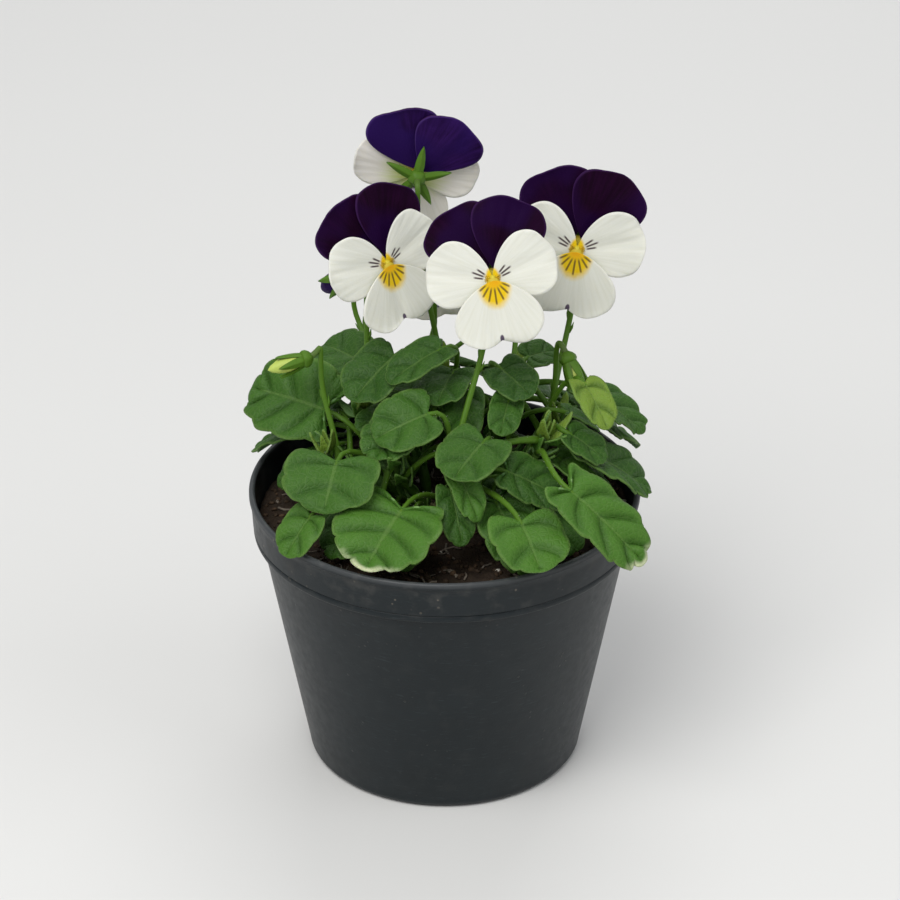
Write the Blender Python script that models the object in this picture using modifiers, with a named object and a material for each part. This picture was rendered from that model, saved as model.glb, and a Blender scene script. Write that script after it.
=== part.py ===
"""A horned violet (Viola cornuta) in a black 9 cm nursery pot, at its real size.

Metres, +Z up. The origin is the centre of the pot's base, on the surface that the pot stands on, and the
plant's front faces -Y. Azimuths turn about the pot's axis: 0 is the front, 90 the right (+X), 180 the
back. Leafy stems stand in a ring round the crown. Their leaf blades sit on a dome over the compost, each on
a petiole from a stem. The blooms and buds stand over the dome on long hooked stalks from the stems' tips.
"""

import math
import random
from dataclasses import dataclass

import bmesh
import bpy
from mathutils import Matrix, Vector
from mathutils.bvhtree import BVHTree
from mathutils.geometry import interpolate_bezier

MM = 0.001
GAP = 0.3 * MM
SIDES = 6

# Pot
POT_HEIGHT = 68 * MM
RIM_RADIUS = 45 * MM
BAND_HEIGHT = 10.5 * MM
BAND_TAPER = 0.5 * MM
LEDGE_WIDTH = 1.6 * MM
BASE_RADIUS = 32 * MM
BASE_CORNER = 2 * MM
WALL = 1.0 * MM
LIP_HEIGHT = 1.6 * MM
LIP_OUT = 0.4 * MM
FLOOR = 1.6 * MM
DRAIN_COUNT, DRAIN_RADIUS, DRAIN_RING = 8, 2.8 * MM, 23 * MM
POT_STEPS = 32

LEDGE_Z = POT_HEIGHT - BAND_HEIGHT
BAND_TOP_RADIUS = RIM_RADIUS - LIP_OUT
BAND_FOOT_RADIUS = BAND_TOP_RADIUS - BAND_TAPER
BODY_TOP_RADIUS = BAND_FOOT_RADIUS - LEDGE_WIDTH

# Compost and crown
SOIL_TOP = 60 * MM
SOIL_RISE = 1.8 * MM
SOIL_LUMP = 0.6 * MM
SOIL_RINGS = 3
CROWN_RADIUS = 4.0 * MM
CROWN_TOP = 3.0 * MM
CROWN_STEPS = 8
TAPROOT_LENGTH = 36 * MM
HOLE_TOP = SOIL_TOP + 9 * MM

# Stems, petioles and flower stalks
STEM_RADIUS, STEM_TIP_RADIUS = 1.3 * MM, 0.9 * MM
STEM_RING = 8.5 * MM
STEM_DEPTH = 9 * MM
STEM_UPRIGHT, STEM_BEND = 3 * MM, 8 * MM
HOLE_RADIUS = (STEM_RADIUS + GAP) / math.cos(math.pi / SIDES)
STEM_POINTS = 5
PETIOLE_RADIUS, PETIOLE_TIP_RADIUS = 0.75 * MM, 0.34 * MM
PETIOLE_POINTS = 4
PETIOLE_RISE, PETIOLE_HANDLE = 0.7, 0.35
STALK_RADIUS = 0.75 * MM
STALK_POINTS, HOOK_POINTS, BUD_HOOK_POINTS = 5, 4, 6
HOOK_BACK, HOOK_TOP, HOOK_ARCH = 4.5 * MM, 5 * MM, 9.1 * MM
HOOK_DROP, BUD_HOOK_DROP = 8 * MM, 3 * MM

# Leaves
DOME_RADIUS = 42 * MM
DOME_HEIGHT = 36 * MM
DOME_FOOT = -3 * MM
BLADE_THICKNESS = 0.8 * MM
BLADE_POINTS, SMALL_POINTS = 20, 12
SMALL_LEAF = 15 * MM
TOOTH_DEPTH = 0.075
HEART = 0.66
OVATE = 0.08
BLUNT = 0.76
FOLD = 0.15
DROOP = 0.16
MIDRIB = (0.28, 0.7)
PETIOLE_REACH = 0.12
SEED = 11
TRIES = 300
STEM_CHOICE = 3
# How far the last try is from the wanted place: azimuth, rise, layer, spin, roll, pitch and lost size
LOOSE_AZIMUTH, LOOSE_RISE, LOOSE_LAYER = 24, 16, (-0.16, 0.12)
LOOSE_SPIN, LOOSE_ROLL, LOOSE_PITCH, LOOSE_SIZE = 50, 25, 20, 0.25
LEAN_OUT, LEAN_UP = 0.6, 0.7
BLADE_GROWTH = 1.04
MIN_PETIOLE, MAX_PETIOLE = 6 * MM, 30 * MM
POCKET_CORNERS = 30

# Blooms and buds, in the bloom's own frame: x to the right of its face, y up it, z out of it.
# The spur's points are y, z and radius in millimetres, and a bud's are shares of its length and radius.
PETAL_THICKNESS = 0.7 * MM
PETAL_POINTS = 12
PETAL_MID = (0.35, 0.68)
CLAW_WIDTH = 1.3
BLOOM_DEPTH = 4.6 * MM
CLAW_RADIUS = 1.2 * MM
LOWER_CLAW_Y, LOWER_CLAW_TOP = -0.8 * MM, 0.9 * MM
UPPER_CLAW_Y, UPPER_CLAW_TOP = 2.3 * MM, -1.2 * MM
RECEPTACLE_Y, RECEPTACLE_RADIUS, RECEPTACLE_DEPTH = 1.3 * MM, 2.0 * MM, 1.6 * MM
SPUR = ((-1.3, -1.0, 1.2), (-2.6, -4.6, 1.0), (-3.2, -8.0, 0.8))
SEPAL_COUNT = 5
SEPAL_LENGTH, SEPAL_WIDTH, SEPAL_THICKNESS = 7 * MM, 2.2 * MM, 0.65 * MM
SEPAL_SPREAD, DARK_BUD_SPREAD, GREEN_BUD_SPREAD = 84, 35, 20
BUD_SEPAL_CUP = 1.2 * MM
BUD_RADIUS = 0.22
BUD_PROFILE = ((0, 1.0), (0.42, 0.9), (0.8, 0.7), (1.0, 0.45), (0.85, 0.2), (0.35, 0.02), (0, 0.02))
BUD_STEPS = 8


@dataclass
class Stem:
    """A leafy stem: its azimuth round the crown, and where its tip is, with its rise over the rim."""

    azimuth: float
    tip_azimuth: float
    tip_radius: float
    tip_rise: float


@dataclass
class Site:
    """Where a blade's middle sits on the leaf dome, which way its tip is turned, and its size.

    Lean is the share of the common outward lean that the blade has, and face how far it also looks to the
    plant's front.
    """

    azimuth: float
    rise: float
    layer: float
    spin: float
    length: float
    width: float
    lean: float = 1
    face: float = 0


@dataclass
class Leaf:
    """A placed leaf: the blade's frame has the petiole's end as its origin and the tip along +Y."""

    stem: int
    frame: Matrix
    length: float
    width: float
    petiole: list


@dataclass
class Head:
    """A bloom or a bud: its stem, where its eye or its receptacle is, and which way it looks.

    Size is a bloom's scale and a bud's length.
    """

    name: str
    stem: int
    place: Vector
    azimuth: float
    elevation: float
    roll: float
    size: float


@dataclass
class Petal:
    """A petal in the bloom's frame: its axis turned from straight up, its size, its depth and its curl.

    The lower its claw value is, the broader the petal starts.
    """

    turn: float
    start: float
    length: float
    width: float
    notch: float
    depth: float
    curl: float
    claw: float = 1


def above_rim(x, y, z):
    """A point given in millimetres from the centre of the pot's mouth."""
    return Vector((x * MM, y * MM, POT_HEIGHT + z * MM))


STEMS = (
    Stem(0, -4, 16 * MM, 12 * MM),
    Stem(40, 56, 25 * MM, 18 * MM),
    Stem(80, 88, 27 * MM, 14 * MM),
    Stem(120, 126, 25 * MM, 18 * MM),
    Stem(160, 172, 18 * MM, 20 * MM),
    Stem(-160, -162, 26 * MM, 16 * MM),
    Stem(-120, -112, 20 * MM, 18 * MM),
    Stem(-80, -86, 28 * MM, 13 * MM),
    Stem(-40, -48, 20 * MM, 17 * MM),
)

BLOOMS = (
    Head("bloom_left", 6, above_rim(-11.5, 8, 53.5), 20, 14, 10, 0.96),
    Head("bloom_centre", 0, above_rim(9, -10, 56.5), -8, 20, 8, 0.98),
    Head("bloom_right", 2, above_rim(32, 8, 53), -12, 6, -8, 1.03),
    Head("bloom_back", 4, above_rim(-1.5, 28, 66.5), 172, 4, 12, 0.96),
    Head("bloom_rear", 5, above_rim(6, 40, 34), 166, 14, -6, 0.95),
)

GREEN_BUDS = (
    Head("bud_left", 7, above_rim(-32, 4, 33.5), -80, -8, 0, 9 * MM),
    Head("bud_right", 2, above_rim(28, -4, 31), 30, -55, 0, 8 * MM),
)
DARK_BUDS = (
    Head("bud_rear_left", 5, above_rim(-16, 42, 34), -160, -35, 0, 12 * MM),
    Head("bud_rear_right", 3, above_rim(27, 34, 34), 130, -30, 0, 12 * MM),
)

UPPER_PETALS = (
    Petal(25, 2.0 * MM, 17.0 * MM, 17.5 * MM, 0, -1.7 * MM, -1.6 * MM),
    Petal(-27, 2.0 * MM, 16.5 * MM, 17.5 * MM, 0, -2.8 * MM, -1.6 * MM),
)
LOWER_PETALS = (
    Petal(74, 0, 15.2 * MM, 15.5 * MM, 0, 0, -0.9 * MM, 0.6),
    Petal(-74, 0, 15.2 * MM, 15.5 * MM, 0, 0, -0.9 * MM, 0.6),
    Petal(180, 0, 16.2 * MM, 20.5 * MM, 2.4 * MM, 1.0 * MM, -0.4 * MM, 0.45),
)

# Leaves that the front view shows
FRONT_SITES = (
    Site(-106, 39, 1.07, -15, 22 * MM, 22 * MM, 1, 1),
    Site(-32, 16, 0.93, -5, 18 * MM, 25 * MM, 0.3, 0.15),
    Site(15, 15, 1.08, -5, 14 * MM, 18 * MM, 0.5, 0),
    Site(36, 16, 1.24, 10, 23 * MM, 16 * MM, 0.8, 0.2),
    Site(-54, 26, 0.94, 30, 14 * MM, 24 * MM, 0.6, 0.3),
    Site(34, 38, 0.9, 40, 18 * MM, 15 * MM, 1, 0.5),
    Site(-43, 60, 0.87, -30, 13 * MM, 15 * MM, 1, 0.7),
    Site(-91, 67, 0.99, 40, 15 * MM, 15 * MM, 1, 0.5),
    Site(23, 72, 0.7, -25, 15 * MM, 11 * MM, 1, 0.5),
    Site(5, 39, 0.76, 30, 16 * MM, 8.5 * MM, 1, 0.4),
    Site(-5, 24, 0.76, 5, 13 * MM, 8.5 * MM, 1, 0.3),
    Site(69, 45, 1.14, -55, 13 * MM, 10 * MM, 1, 0.4),
    Site(-57, 13, 1.06, 0, 11 * MM, 11 * MM, 1, 0.2),
    Site(58, 34, 1, 0, 10 * MM, 9.5 * MM, 1, 0.3),
    Site(-71, 80, 1.04, 10, 15 * MM, 11 * MM, 0.8, 0.2),
    Site(65, 74, 0.98, -40, 13 * MM, 13 * MM, 1, 0.4),
    Site(39, 61, 0.86, -60, 10 * MM, 8 * MM, 1, 0.4),
)

# Rings of leaves that fill the rest of the dome: rise, layer, count, length
LEAF_RINGS = (
    (14, 1.0, 13, 22 * MM),
    (36, 1.0, 12, 20 * MM),
    (58, 1.0, 8, 18 * MM),
    (80, 0.98, 3, 15 * MM),
)
FILL_SITES = 240
FILL_LENGTHS = (10 * MM, 15.5 * MM)
FILL_RISE, FILL_LAYER, FILL_WIDTH = (0.12, 1), (0.55, 1), 0.9
RING_SIZE, RING_SPIN, RING_WIDTH = (0.85, 1.12), 30, (0.8, 1.02)
MOST_LEAVES = 92

# Between these azimuths the filling leaves stay under the front ones
FRONT_SECTOR = (-108, 56)
FRONT_LAYER = 0.78


def outward(azimuth):
    """The level direction at an azimuth."""
    angle = math.radians(azimuth)
    return Vector((math.sin(angle), -math.cos(angle), 0))


def facing_frame(place, azimuth, elevation, roll):
    """A frame whose +Z looks to an azimuth and elevation and whose +Y is up, then rolled about +Z."""
    right = Vector((math.cos(math.radians(azimuth)), math.sin(math.radians(azimuth)), 0))
    lift = math.radians(elevation)
    look = outward(azimuth) * math.cos(lift) + Vector((0, 0, math.sin(lift)))
    axes = Matrix((right, look.cross(right), look)).transposed().to_4x4()
    return Matrix.Translation(place) @ axes @ Matrix.Rotation(math.radians(roll), 4, "Z")


def curve_points(knots, count):
    """Points along one cubic, from its two ends and two handles."""
    return interpolate_bezier(*knots, count)


def stem_path(stem):
    """The stem's points: straight up out of the compost, then out to its tip."""
    foot = outward(stem.azimuth) * STEM_RING
    ground = foot + Vector((0, 0, SOIL_TOP + STEM_UPRIGHT))
    tip = outward(stem.tip_azimuth) * stem.tip_radius + Vector((0, 0, POT_HEIGHT + stem.tip_rise))
    bend = Vector((0, 0, STEM_BEND))
    knots = (ground, ground + bend, tip - bend, tip)
    return [foot + Vector((0, 0, SOIL_TOP - STEM_DEPTH))] + curve_points(knots, STEM_POINTS)


def head_frame(head, depth):
    """The receptacle's frame behind a bloom's eye, or at a bud's own place."""
    frame = facing_frame(head.place, head.azimuth, head.elevation, head.roll)
    return frame @ Matrix.Translation((0, RECEPTACLE_Y if depth else 0, -depth))


def stalk_path(head, depth):
    """The stalk's points: up from the stem's tip, over a hook, and down into the receptacle."""
    frame = head_frame(head, depth)
    end = frame.translation
    look, up = frame.col[2].to_3d().normalized(), Vector((0, 0, 1))
    knee = end - outward(head.azimuth) * HOOK_BACK - up * (HOOK_DROP if depth else BUD_HOOK_DROP)
    root = stem_path(STEMS[head.stem])[-2]
    rise = up * (knee - root).length * 0.4
    climb = curve_points((root, root + rise, knee - rise, knee), STALK_POINTS)
    over = knee + up * HOOK_ARCH
    count = HOOK_POINTS if depth else BUD_HOOK_POINTS
    hook = curve_points((knee, over, end - look * HOOK_TOP, end - look * MM), count)
    return climb + hook[1:]


def blade_outline(length, width):
    """A heart-shaped blade's toothed edge in its own plane, from the petiole round by the tip."""
    middle = Vector((0, 0.45 * length))
    count = BLADE_POINTS if length > SMALL_LEAF else SMALL_POINTS
    points = []
    for step in range(count):
        turn = math.tau * step / count
        lobe = HEART * abs(math.sin(turn)) * (0.5 + 0.5 * math.cos(turn)) ** 4
        across = -width / 2 * math.copysign(abs(math.sin(turn)) ** BLUNT, math.sin(turn))
        across *= 1 + OVATE * math.cos(turn)
        along = length * (0.5 - 0.5 * math.cos(turn) - lobe)
        tooth = 1 - TOOTH_DEPTH * (step % 2)
        points.append(middle + (Vector((across, along)) - middle) * tooth)
    return points


def blade_height(x, y, length):
    """A blade's rise over its own plane: folded up from the midrib and drooping to the tip."""
    return FOLD * abs(x) - DROOP * y * y / length


def petal_outline(petal):
    """A petal's edge about its own axis, from its claw round by its tip."""
    points = []
    for step in range(PETAL_POINTS):
        turn = math.tau * step / PETAL_POINTS
        across = -petal.width / 2 * math.sin(turn) * math.sin(turn / 2) ** petal.claw
        across *= 1 + (CLAW_WIDTH - 1) * petal.claw
        along = petal.length * (0.5 - 0.5 * math.cos(turn))
        notch = petal.notch if step == PETAL_POINTS // 2 else 0
        points.append(Vector((across, petal.start + along - notch)))
    return points


def sheet(edge, spine, height):
    """An open sheet over an outline, split into triangles that fan out from the points of its spine."""
    mesh = bmesh.new()
    corners = [mesh.verts.new((point.x, point.y, height(point.x, point.y))) for point in edge]
    middles = [mesh.verts.new((0, along, height(0, along))) for along in spine]
    nearest = []
    for step, point in enumerate(edge):
        centre = (point.y + edge[(step + 1) % len(edge)].y) / 2
        nearest.append(min(range(len(spine)), key=lambda index: abs(spine[index] - centre)))
    for step, corner in enumerate(corners):
        mesh.faces.new((corner, corners[(step + 1) % len(corners)], middles[nearest[step]]))
        before, after = nearest[step - 1], nearest[step]
        while before != after:
            step_on = before + (1 if after > before else -1)
            mesh.faces.new((corner, middles[step_on], middles[before]))
            before = step_on
    bmesh.ops.recalc_face_normals(mesh, faces=mesh.faces)
    return mesh


def new_object(name, mesh, collection, frame=None):
    """An object for a mesh, placed by a frame."""
    item = bpy.data.objects.new(name, mesh)
    collection.objects.link(item)
    item.matrix_world = frame or Matrix()
    return item


def from_bmesh(name, source, collection, frame=None):
    """An object for a bmesh."""
    mesh = bpy.data.meshes.new(name)
    source.to_mesh(mesh)
    source.free()
    return new_object(name, mesh, collection, frame)


def thin_sheet(name, edge, spine, height, thickness, collection, frame):
    """A closed blade or petal: an open sheet with Solidify, half to each side."""
    item = from_bmesh(name, sheet(edge, spine, height), collection, frame)
    shell = item.modifiers.new("thickness", "SOLIDIFY")
    shell.thickness = thickness
    shell.offset = 0
    return item


def tube(name, points, radii, collection, resolution=1, frame=None):
    """A closed round tube along points, from a curve that has a radius at each of them."""
    curve = bpy.data.curves.new(name, "CURVE")
    curve.dimensions = "3D"
    curve.bevel_depth = 1
    curve.bevel_resolution = resolution
    curve.use_fill_caps = True
    spline = curve.splines.new("POLY")
    spline.points.add(len(points) - 1)
    for knot, point, radius in zip(spline.points, points, radii):
        knot.co = (*point, 1)
        knot.radius = radius
    guide = new_object(name, curve, collection)
    bpy.context.view_layer.update()
    mesh = bpy.data.meshes.new_from_object(guide.evaluated_get(bpy.context.evaluated_depsgraph_get()))
    bpy.data.objects.remove(guide)
    welded = bmesh.new()
    welded.from_mesh(mesh)
    bmesh.ops.remove_doubles(welded, verts=welded.verts, dist=0.01 * MM)
    bmesh.ops.triangulate(welded, faces=welded.faces)
    return from_bmesh(name, welded, collection, frame)


def taper(first, last, count):
    """Radii that run evenly from the first to the last."""
    return [first + (last - first) * step / (count - 1) for step in range(count)]


def cylinder(name, radius, top, bottom, collection, frame):
    """A plain six-sided cylinder along the frame's Z, between two heights."""
    mesh = bmesh.new()
    middle = Matrix.Translation((0, 0, (top + bottom) / 2))
    bmesh.ops.create_cone(mesh, cap_ends=True, segments=SIDES, radius1=radius, radius2=radius,
                          depth=top - bottom, matrix=middle)
    return from_bmesh(name, mesh, collection, frame)


def turned(name, profile, steps, collection):
    """A turned solid: a profile of radius and height with a Screw modifier."""
    mesh = bpy.data.meshes.new(name)
    mesh.from_pydata([(radius, 0, height) for radius, height in profile],
                     [(index, index + 1) for index in range(len(profile) - 1)], [])
    item = new_object(name, mesh, collection)
    screw = item.modifiers.new("turn", "SCREW")
    screw.steps = screw.render_steps = steps
    screw.use_merge_vertices = True
    screw.merge_threshold = 0.01 * MM
    return item


def apply_modifiers(item):
    """Replaces an object's mesh with its evaluated one, in world space."""
    bpy.context.view_layer.update()
    mesh = bpy.data.meshes.new_from_object(item.evaluated_get(bpy.context.evaluated_depsgraph_get()))
    mesh.transform(item.matrix_world)
    item.modifiers.clear()
    item.data = mesh
    item.matrix_world = Matrix()


def combine(item, others, operation):
    """Joins or cuts an object by others, held in a collection of their own, and then removes them."""
    group = bpy.data.collections.new("group")
    bpy.context.scene.collection.children.link(group)
    for other in others:
        for owner in other.users_collection:
            owner.objects.unlink(other)
        group.objects.link(other)
    change = item.modifiers.new("combine", "BOOLEAN")
    change.operation = operation
    change.operand_type = "COLLECTION"
    change.collection = group
    apply_modifiers(item)
    for other in others:
        bpy.data.objects.remove(other)
    bpy.data.collections.remove(group)


def fill_pockets(item):
    """Fills the tiny pockets that tubes and blades shut in where they meet, by taking out their shells."""
    solid = bmesh.new()
    solid.from_mesh(item.data)
    rest = set(solid.verts)
    while rest:
        shell, edge = [], [rest.pop()]
        while edge:
            corner = edge.pop()
            shell.append(corner)
            near = {link.other_vert(corner) for link in corner.link_edges} & rest
            rest -= near
            edge += near
        if len(shell) < POCKET_CORNERS:
            bmesh.ops.delete(solid, geom=shell, context="VERTS")
    solid.to_mesh(item.data)
    solid.free()


def make_material(name, colour, roughness):
    """A plain Principled material."""
    material = bpy.data.materials.new(name)
    material.use_nodes = True
    shader = material.node_tree.nodes["Principled BSDF"]
    shader.inputs["Base Color"].default_value = (*colour, 1)
    shader.inputs["Roughness"].default_value = roughness
    return material


def inner_radius(height):
    """The pot body's inner radius at a height, below the ledge."""
    share = (height - BASE_CORNER) / (LEDGE_Z - BASE_CORNER)
    return BASE_RADIUS - WALL + (BODY_TOP_RADIUS - BASE_RADIUS) * share


def make_pot(collection):
    """The pot: thin tapered walls, a collar with a lip, and a floor with drainage holes."""
    ledge_top = LEDGE_Z + WALL
    lip_foot = POT_HEIGHT - LIP_HEIGHT
    profile = (
        (0, FLOOR), (inner_radius(FLOOR) - BASE_CORNER / 2, FLOOR),
        (inner_radius(FLOOR + BASE_CORNER), FLOOR + BASE_CORNER),
        (BODY_TOP_RADIUS - WALL, ledge_top), (BAND_FOOT_RADIUS - WALL, ledge_top),
        (BAND_TOP_RADIUS - WALL, POT_HEIGHT - LIP_OUT), (BAND_TOP_RADIUS - WALL + LIP_OUT, POT_HEIGHT),
        (RIM_RADIUS - LIP_OUT, POT_HEIGHT), (RIM_RADIUS, POT_HEIGHT - LIP_OUT), (RIM_RADIUS, lip_foot),
        (BAND_TOP_RADIUS, lip_foot - LIP_OUT), (BAND_FOOT_RADIUS, LEDGE_Z), (BODY_TOP_RADIUS, LEDGE_Z),
        (BASE_RADIUS, BASE_CORNER), (BASE_RADIUS - BASE_CORNER, 0), (0, 0),
    )
    pot = turned("pot", profile, POT_STEPS, collection)
    drains = []
    for index in range(DRAIN_COUNT):
        place = Matrix.Translation(outward((index + 0.5) * 360 / DRAIN_COUNT) * DRAIN_RING)
        drains.append(cylinder("drain", DRAIN_RADIUS, FLOOR + MM, -MM, collection, place))
    combine(pot, drains, "DIFFERENCE")
    return pot


def root_profile(clear):
    """The crown's and taproot's sides in the compost, made larger all round by a clearance."""
    bottom = SOIL_TOP - TAPROOT_LENGTH - clear
    return [(CROWN_RADIUS + clear, SOIL_TOP - 3 * MM), (0.62 * CROWN_RADIUS + clear, SOIL_TOP - 12 * MM),
            (0.3 * CROWN_RADIUS + clear, bottom), (0, bottom)]


def make_crown(collection):
    """The crown, domed just over the compost, with its taproot under it."""
    top = SOIL_TOP + CROWN_TOP
    dome = [(0, top), (0.6 * CROWN_RADIUS, top - 0.5 * MM), (CROWN_RADIUS, SOIL_TOP + SOIL_RISE)]
    return turned("crown", dome + root_profile(0), CROWN_STEPS, collection)


def soil_height(radius, azimuth):
    """The height of the compost's surface: low at the wall, high at the crown, with soft lumps."""
    share = 1 - (radius / BODY_TOP_RADIUS) ** 2
    lumps = math.sin(5 * azimuth + 260 * radius) + math.sin(3 * azimuth - 420 * radius + 1)
    return SOIL_TOP + SOIL_RISE * share + SOIL_LUMP / 2 * lumps


def make_compost(collection):
    """The compost: it fills the pot to below the rim, with holes for the stems and the crown."""
    ledge_top = LEDGE_Z + WALL + GAP
    edge = BAND_FOOT_RADIUS - WALL - GAP
    top = [(edge * ring / SOIL_RINGS, SOIL_TOP) for ring in range(SOIL_RINGS + 1)]
    wall = [(edge, ledge_top), (BODY_TOP_RADIUS - WALL - GAP, ledge_top),
            (inner_radius(FLOOR + 2 * BASE_CORNER) - GAP, FLOOR + 2 * BASE_CORNER),
            (inner_radius(FLOOR) - 2 * BASE_CORNER, FLOOR + GAP), (0, FLOOR + GAP)]
    compost = turned("compost", top + wall, POT_STEPS, collection)
    apply_modifiers(compost)
    for vertex in compost.data.vertices:
        if vertex.co.z > ledge_top + GAP:
            radius = vertex.co.xy.length
            vertex.co.z = soil_height(radius, math.atan2(vertex.co.y, vertex.co.x))
    mouth = [(0, HOLE_TOP), (CROWN_RADIUS + GAP, HOLE_TOP)]
    holes = [turned("hole", mouth + root_profile(GAP), CROWN_STEPS, collection)]
    for stem in STEMS:
        foot = Matrix.Translation(outward(stem.azimuth) * STEM_RING)
        holes.append(cylinder("hole", HOLE_RADIUS, HOLE_TOP, SOIL_TOP - STEM_DEPTH - GAP, collection, foot))
    combine(compost, holes, "DIFFERENCE")
    return compost


def petal_object(petal, size, collection, frame):
    """One petal of a bloom, curled away from the face towards its tip."""
    def height(x, y):
        return petal.depth + petal.curl * ((y - petal.start) / petal.length) ** 2

    spine = [petal.start + petal.length * share for share in PETAL_MID]
    placed = frame @ Matrix.Rotation(math.radians(-petal.turn), 4, "Z") @ Matrix.Scale(size, 4)
    return thin_sheet("petal", petal_outline(petal), spine, height, PETAL_THICKNESS, collection, placed)


def petal_group(name, claw_y, claw_top, petals, extras, head, collection):
    """A bloom's petals of one colour, joined to the claw that holds them in front of the receptacle."""
    frame = facing_frame(head.place, head.azimuth, head.elevation, head.roll)
    claw = frame @ Matrix.Translation((0, claw_y, 0))
    group = cylinder(head.name + name, CLAW_RADIUS, claw_top, GAP - BLOOM_DEPTH, collection, claw)
    apply_modifiers(group)
    combine(group, extras + [petal_object(petal, head.size, collection, frame) for petal in petals], "UNION")
    return group


def make_petals(head, collection):
    """A bloom's two dark upper petals, and its three white petals with the spur behind the lower one."""
    frame = facing_frame(head.place, head.azimuth, head.elevation, head.roll)
    path, radii = [Vector((0, y, z)) * MM for y, z, _ in SPUR], [radius * MM for _, _, radius in SPUR]
    spur = tube("spur", path, radii, collection, frame=frame)
    return (
        petal_group("_upper_petals", UPPER_CLAW_Y, UPPER_CLAW_TOP, UPPER_PETALS, [], head, collection),
        petal_group("_lower_petals", LOWER_CLAW_Y, LOWER_CLAW_TOP, LOWER_PETALS, [spur], head, collection),
    )


def make_calyx(head, depth, spread, collection):
    """The receptacle at a stalk's end, with its sepals spread out behind a bloom or round a bud."""
    def height(x, y):
        return 0 if depth else BUD_SEPAL_CUP * (y / SEPAL_LENGTH) ** 2

    frame = head_frame(head, depth)
    pieces = [cylinder("receptacle", RECEPTACLE_RADIUS, 0, -RECEPTACLE_DEPTH, collection, frame)]
    half, wide = SEPAL_WIDTH / 2, 0.4 * SEPAL_LENGTH
    edge = [Vector((0, 0)), Vector((-half, wide)), Vector((0, SEPAL_LENGTH)), Vector((half, wide))]
    root = Matrix.Translation((0, RECEPTACLE_RADIUS / 2, -RECEPTACLE_DEPTH / 2))
    opened = Matrix.Rotation(math.radians(90 - spread), 4, "X")
    for index in range(SEPAL_COUNT):
        around = Matrix.Rotation(math.tau * index / SEPAL_COUNT, 4, "Z")
        pieces.append(thin_sheet("sepal", edge, [SEPAL_LENGTH / 2], height, SEPAL_THICKNESS, collection,
                                 frame @ around @ root @ opened))
    return pieces


def bud_body(head, name, sunk, collection):
    """A bud's rolled petals: a turned teardrop, sunk into its receptacle or clear of it."""
    profile = [(across * BUD_RADIUS * head.size, along * head.size) for across, along in BUD_PROFILE]
    item = turned(name, profile, BUD_STEPS, collection)
    item.matrix_world = head_frame(head, 0) @ Matrix.Translation((0, 0, -sunk))
    apply_modifiers(item)
    return item


def surface_tree(items):
    """One search tree of several objects' evaluated surfaces in world space, with its middle and reach."""
    bpy.context.view_layer.update()
    depsgraph = bpy.context.evaluated_depsgraph_get()
    points, faces = [], []
    for item in items:
        evaluated = item.evaluated_get(depsgraph)
        mesh = evaluated.to_mesh()
        faces += [[index + len(points) for index in face.vertices] for face in mesh.polygons]
        points += [item.matrix_world @ vertex.co for vertex in mesh.vertices]
        evaluated.to_mesh_clear()
    middle = sum(points, Vector()) / len(points)
    reach = max((point - middle).length for point in points)
    return BVHTree.FromPolygons(points, faces), middle, reach


def pot_guard():
    """A search tree of the surface that leaves stay off: over the compost and round the rim."""
    soil = SOIL_TOP + SOIL_RISE + SOIL_LUMP + GAP
    inside, outside = BAND_TOP_RADIUS - WALL - GAP, RIM_RADIUS + 2 * GAP
    over = POT_HEIGHT + 2 * GAP
    profile = [(0, soil), (inside, soil), (inside, over), (outside, over), (outside, SOIL_TOP / 2)]
    points, faces = [], []
    for step in range(POT_STEPS):
        across = outward(360 * step / POT_STEPS)
        points += [across * radius + Vector((0, 0, height)) for radius, height in profile]
        for index in range(len(profile) - 1):
            start = step * len(profile) + index
            after = ((step + 1) % POT_STEPS) * len(profile) + index
            faces.append((start, after, after + 1, start + 1))
    return BVHTree.FromPolygons(points, faces), Vector((0, 0, SOIL_TOP)), 3 * RIM_RADIUS


def blade_frame(site):
    """The frame of a blade on the dome: its middle on the dome and its tip turned down and outward."""
    rise, out, up = math.radians(site.rise), outward(site.azimuth), Vector((0, 0, 1))
    middle = out * DOME_RADIUS * math.cos(rise) * site.layer
    middle += up * (POT_HEIGHT + DOME_FOOT + DOME_HEIGHT * math.sin(rise) * site.layer)
    normal = out * math.cos(rise) * LEAN_OUT * site.lean + up * (math.sin(rise) + LEAN_UP)
    normal = (normal + outward(0) * site.face).normalized()
    down = (out - normal * out.dot(normal)).normalized()
    tip = Matrix.Rotation(math.radians(site.spin), 3, normal) @ down
    axes = Matrix((tip.cross(normal), tip, normal)).transposed().to_4x4()
    return Matrix.Translation(middle - tip * site.length / 2) @ axes


def blade_guard(site, frame):
    """A search tree of a blade that is thicker and wider than the real one by a clearance."""
    edge = [point * BLADE_GROWTH for point in blade_outline(site.length, site.width)]
    spine = [site.length * share for share in MIDRIB]
    flat = sheet(edge, spine, lambda x, y: blade_height(x, y, site.length))
    points, faces = [], []
    for offset in (-1, 0, 1):
        lift = Vector((0, 0, offset * (BLADE_THICKNESS / 2 + GAP)))
        faces += [[vertex.index + len(points) for vertex in face.verts] for face in flat.faces]
        points += [frame @ (vertex.co + lift) for vertex in flat.verts]
    flat.free()
    return BVHTree.FromPolygons(points, faces)


def petiole_path(attach, frame, length):
    """A petiole's points, from the stem up to the blade's base and on under its midrib."""
    base, tip = frame.translation, frame.col[1].to_3d()
    span = base - attach
    rise = (span.normalized() + Vector((0, 0, PETIOLE_RISE))).normalized()
    handle = PETIOLE_HANDLE * span.length
    knots = (attach, attach + rise * handle, base - tip * handle, base)
    reach = PETIOLE_REACH * length
    return curve_points(knots, PETIOLE_POINTS) + [frame @ Vector((0, reach, blade_height(0, reach, length)))]


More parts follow.
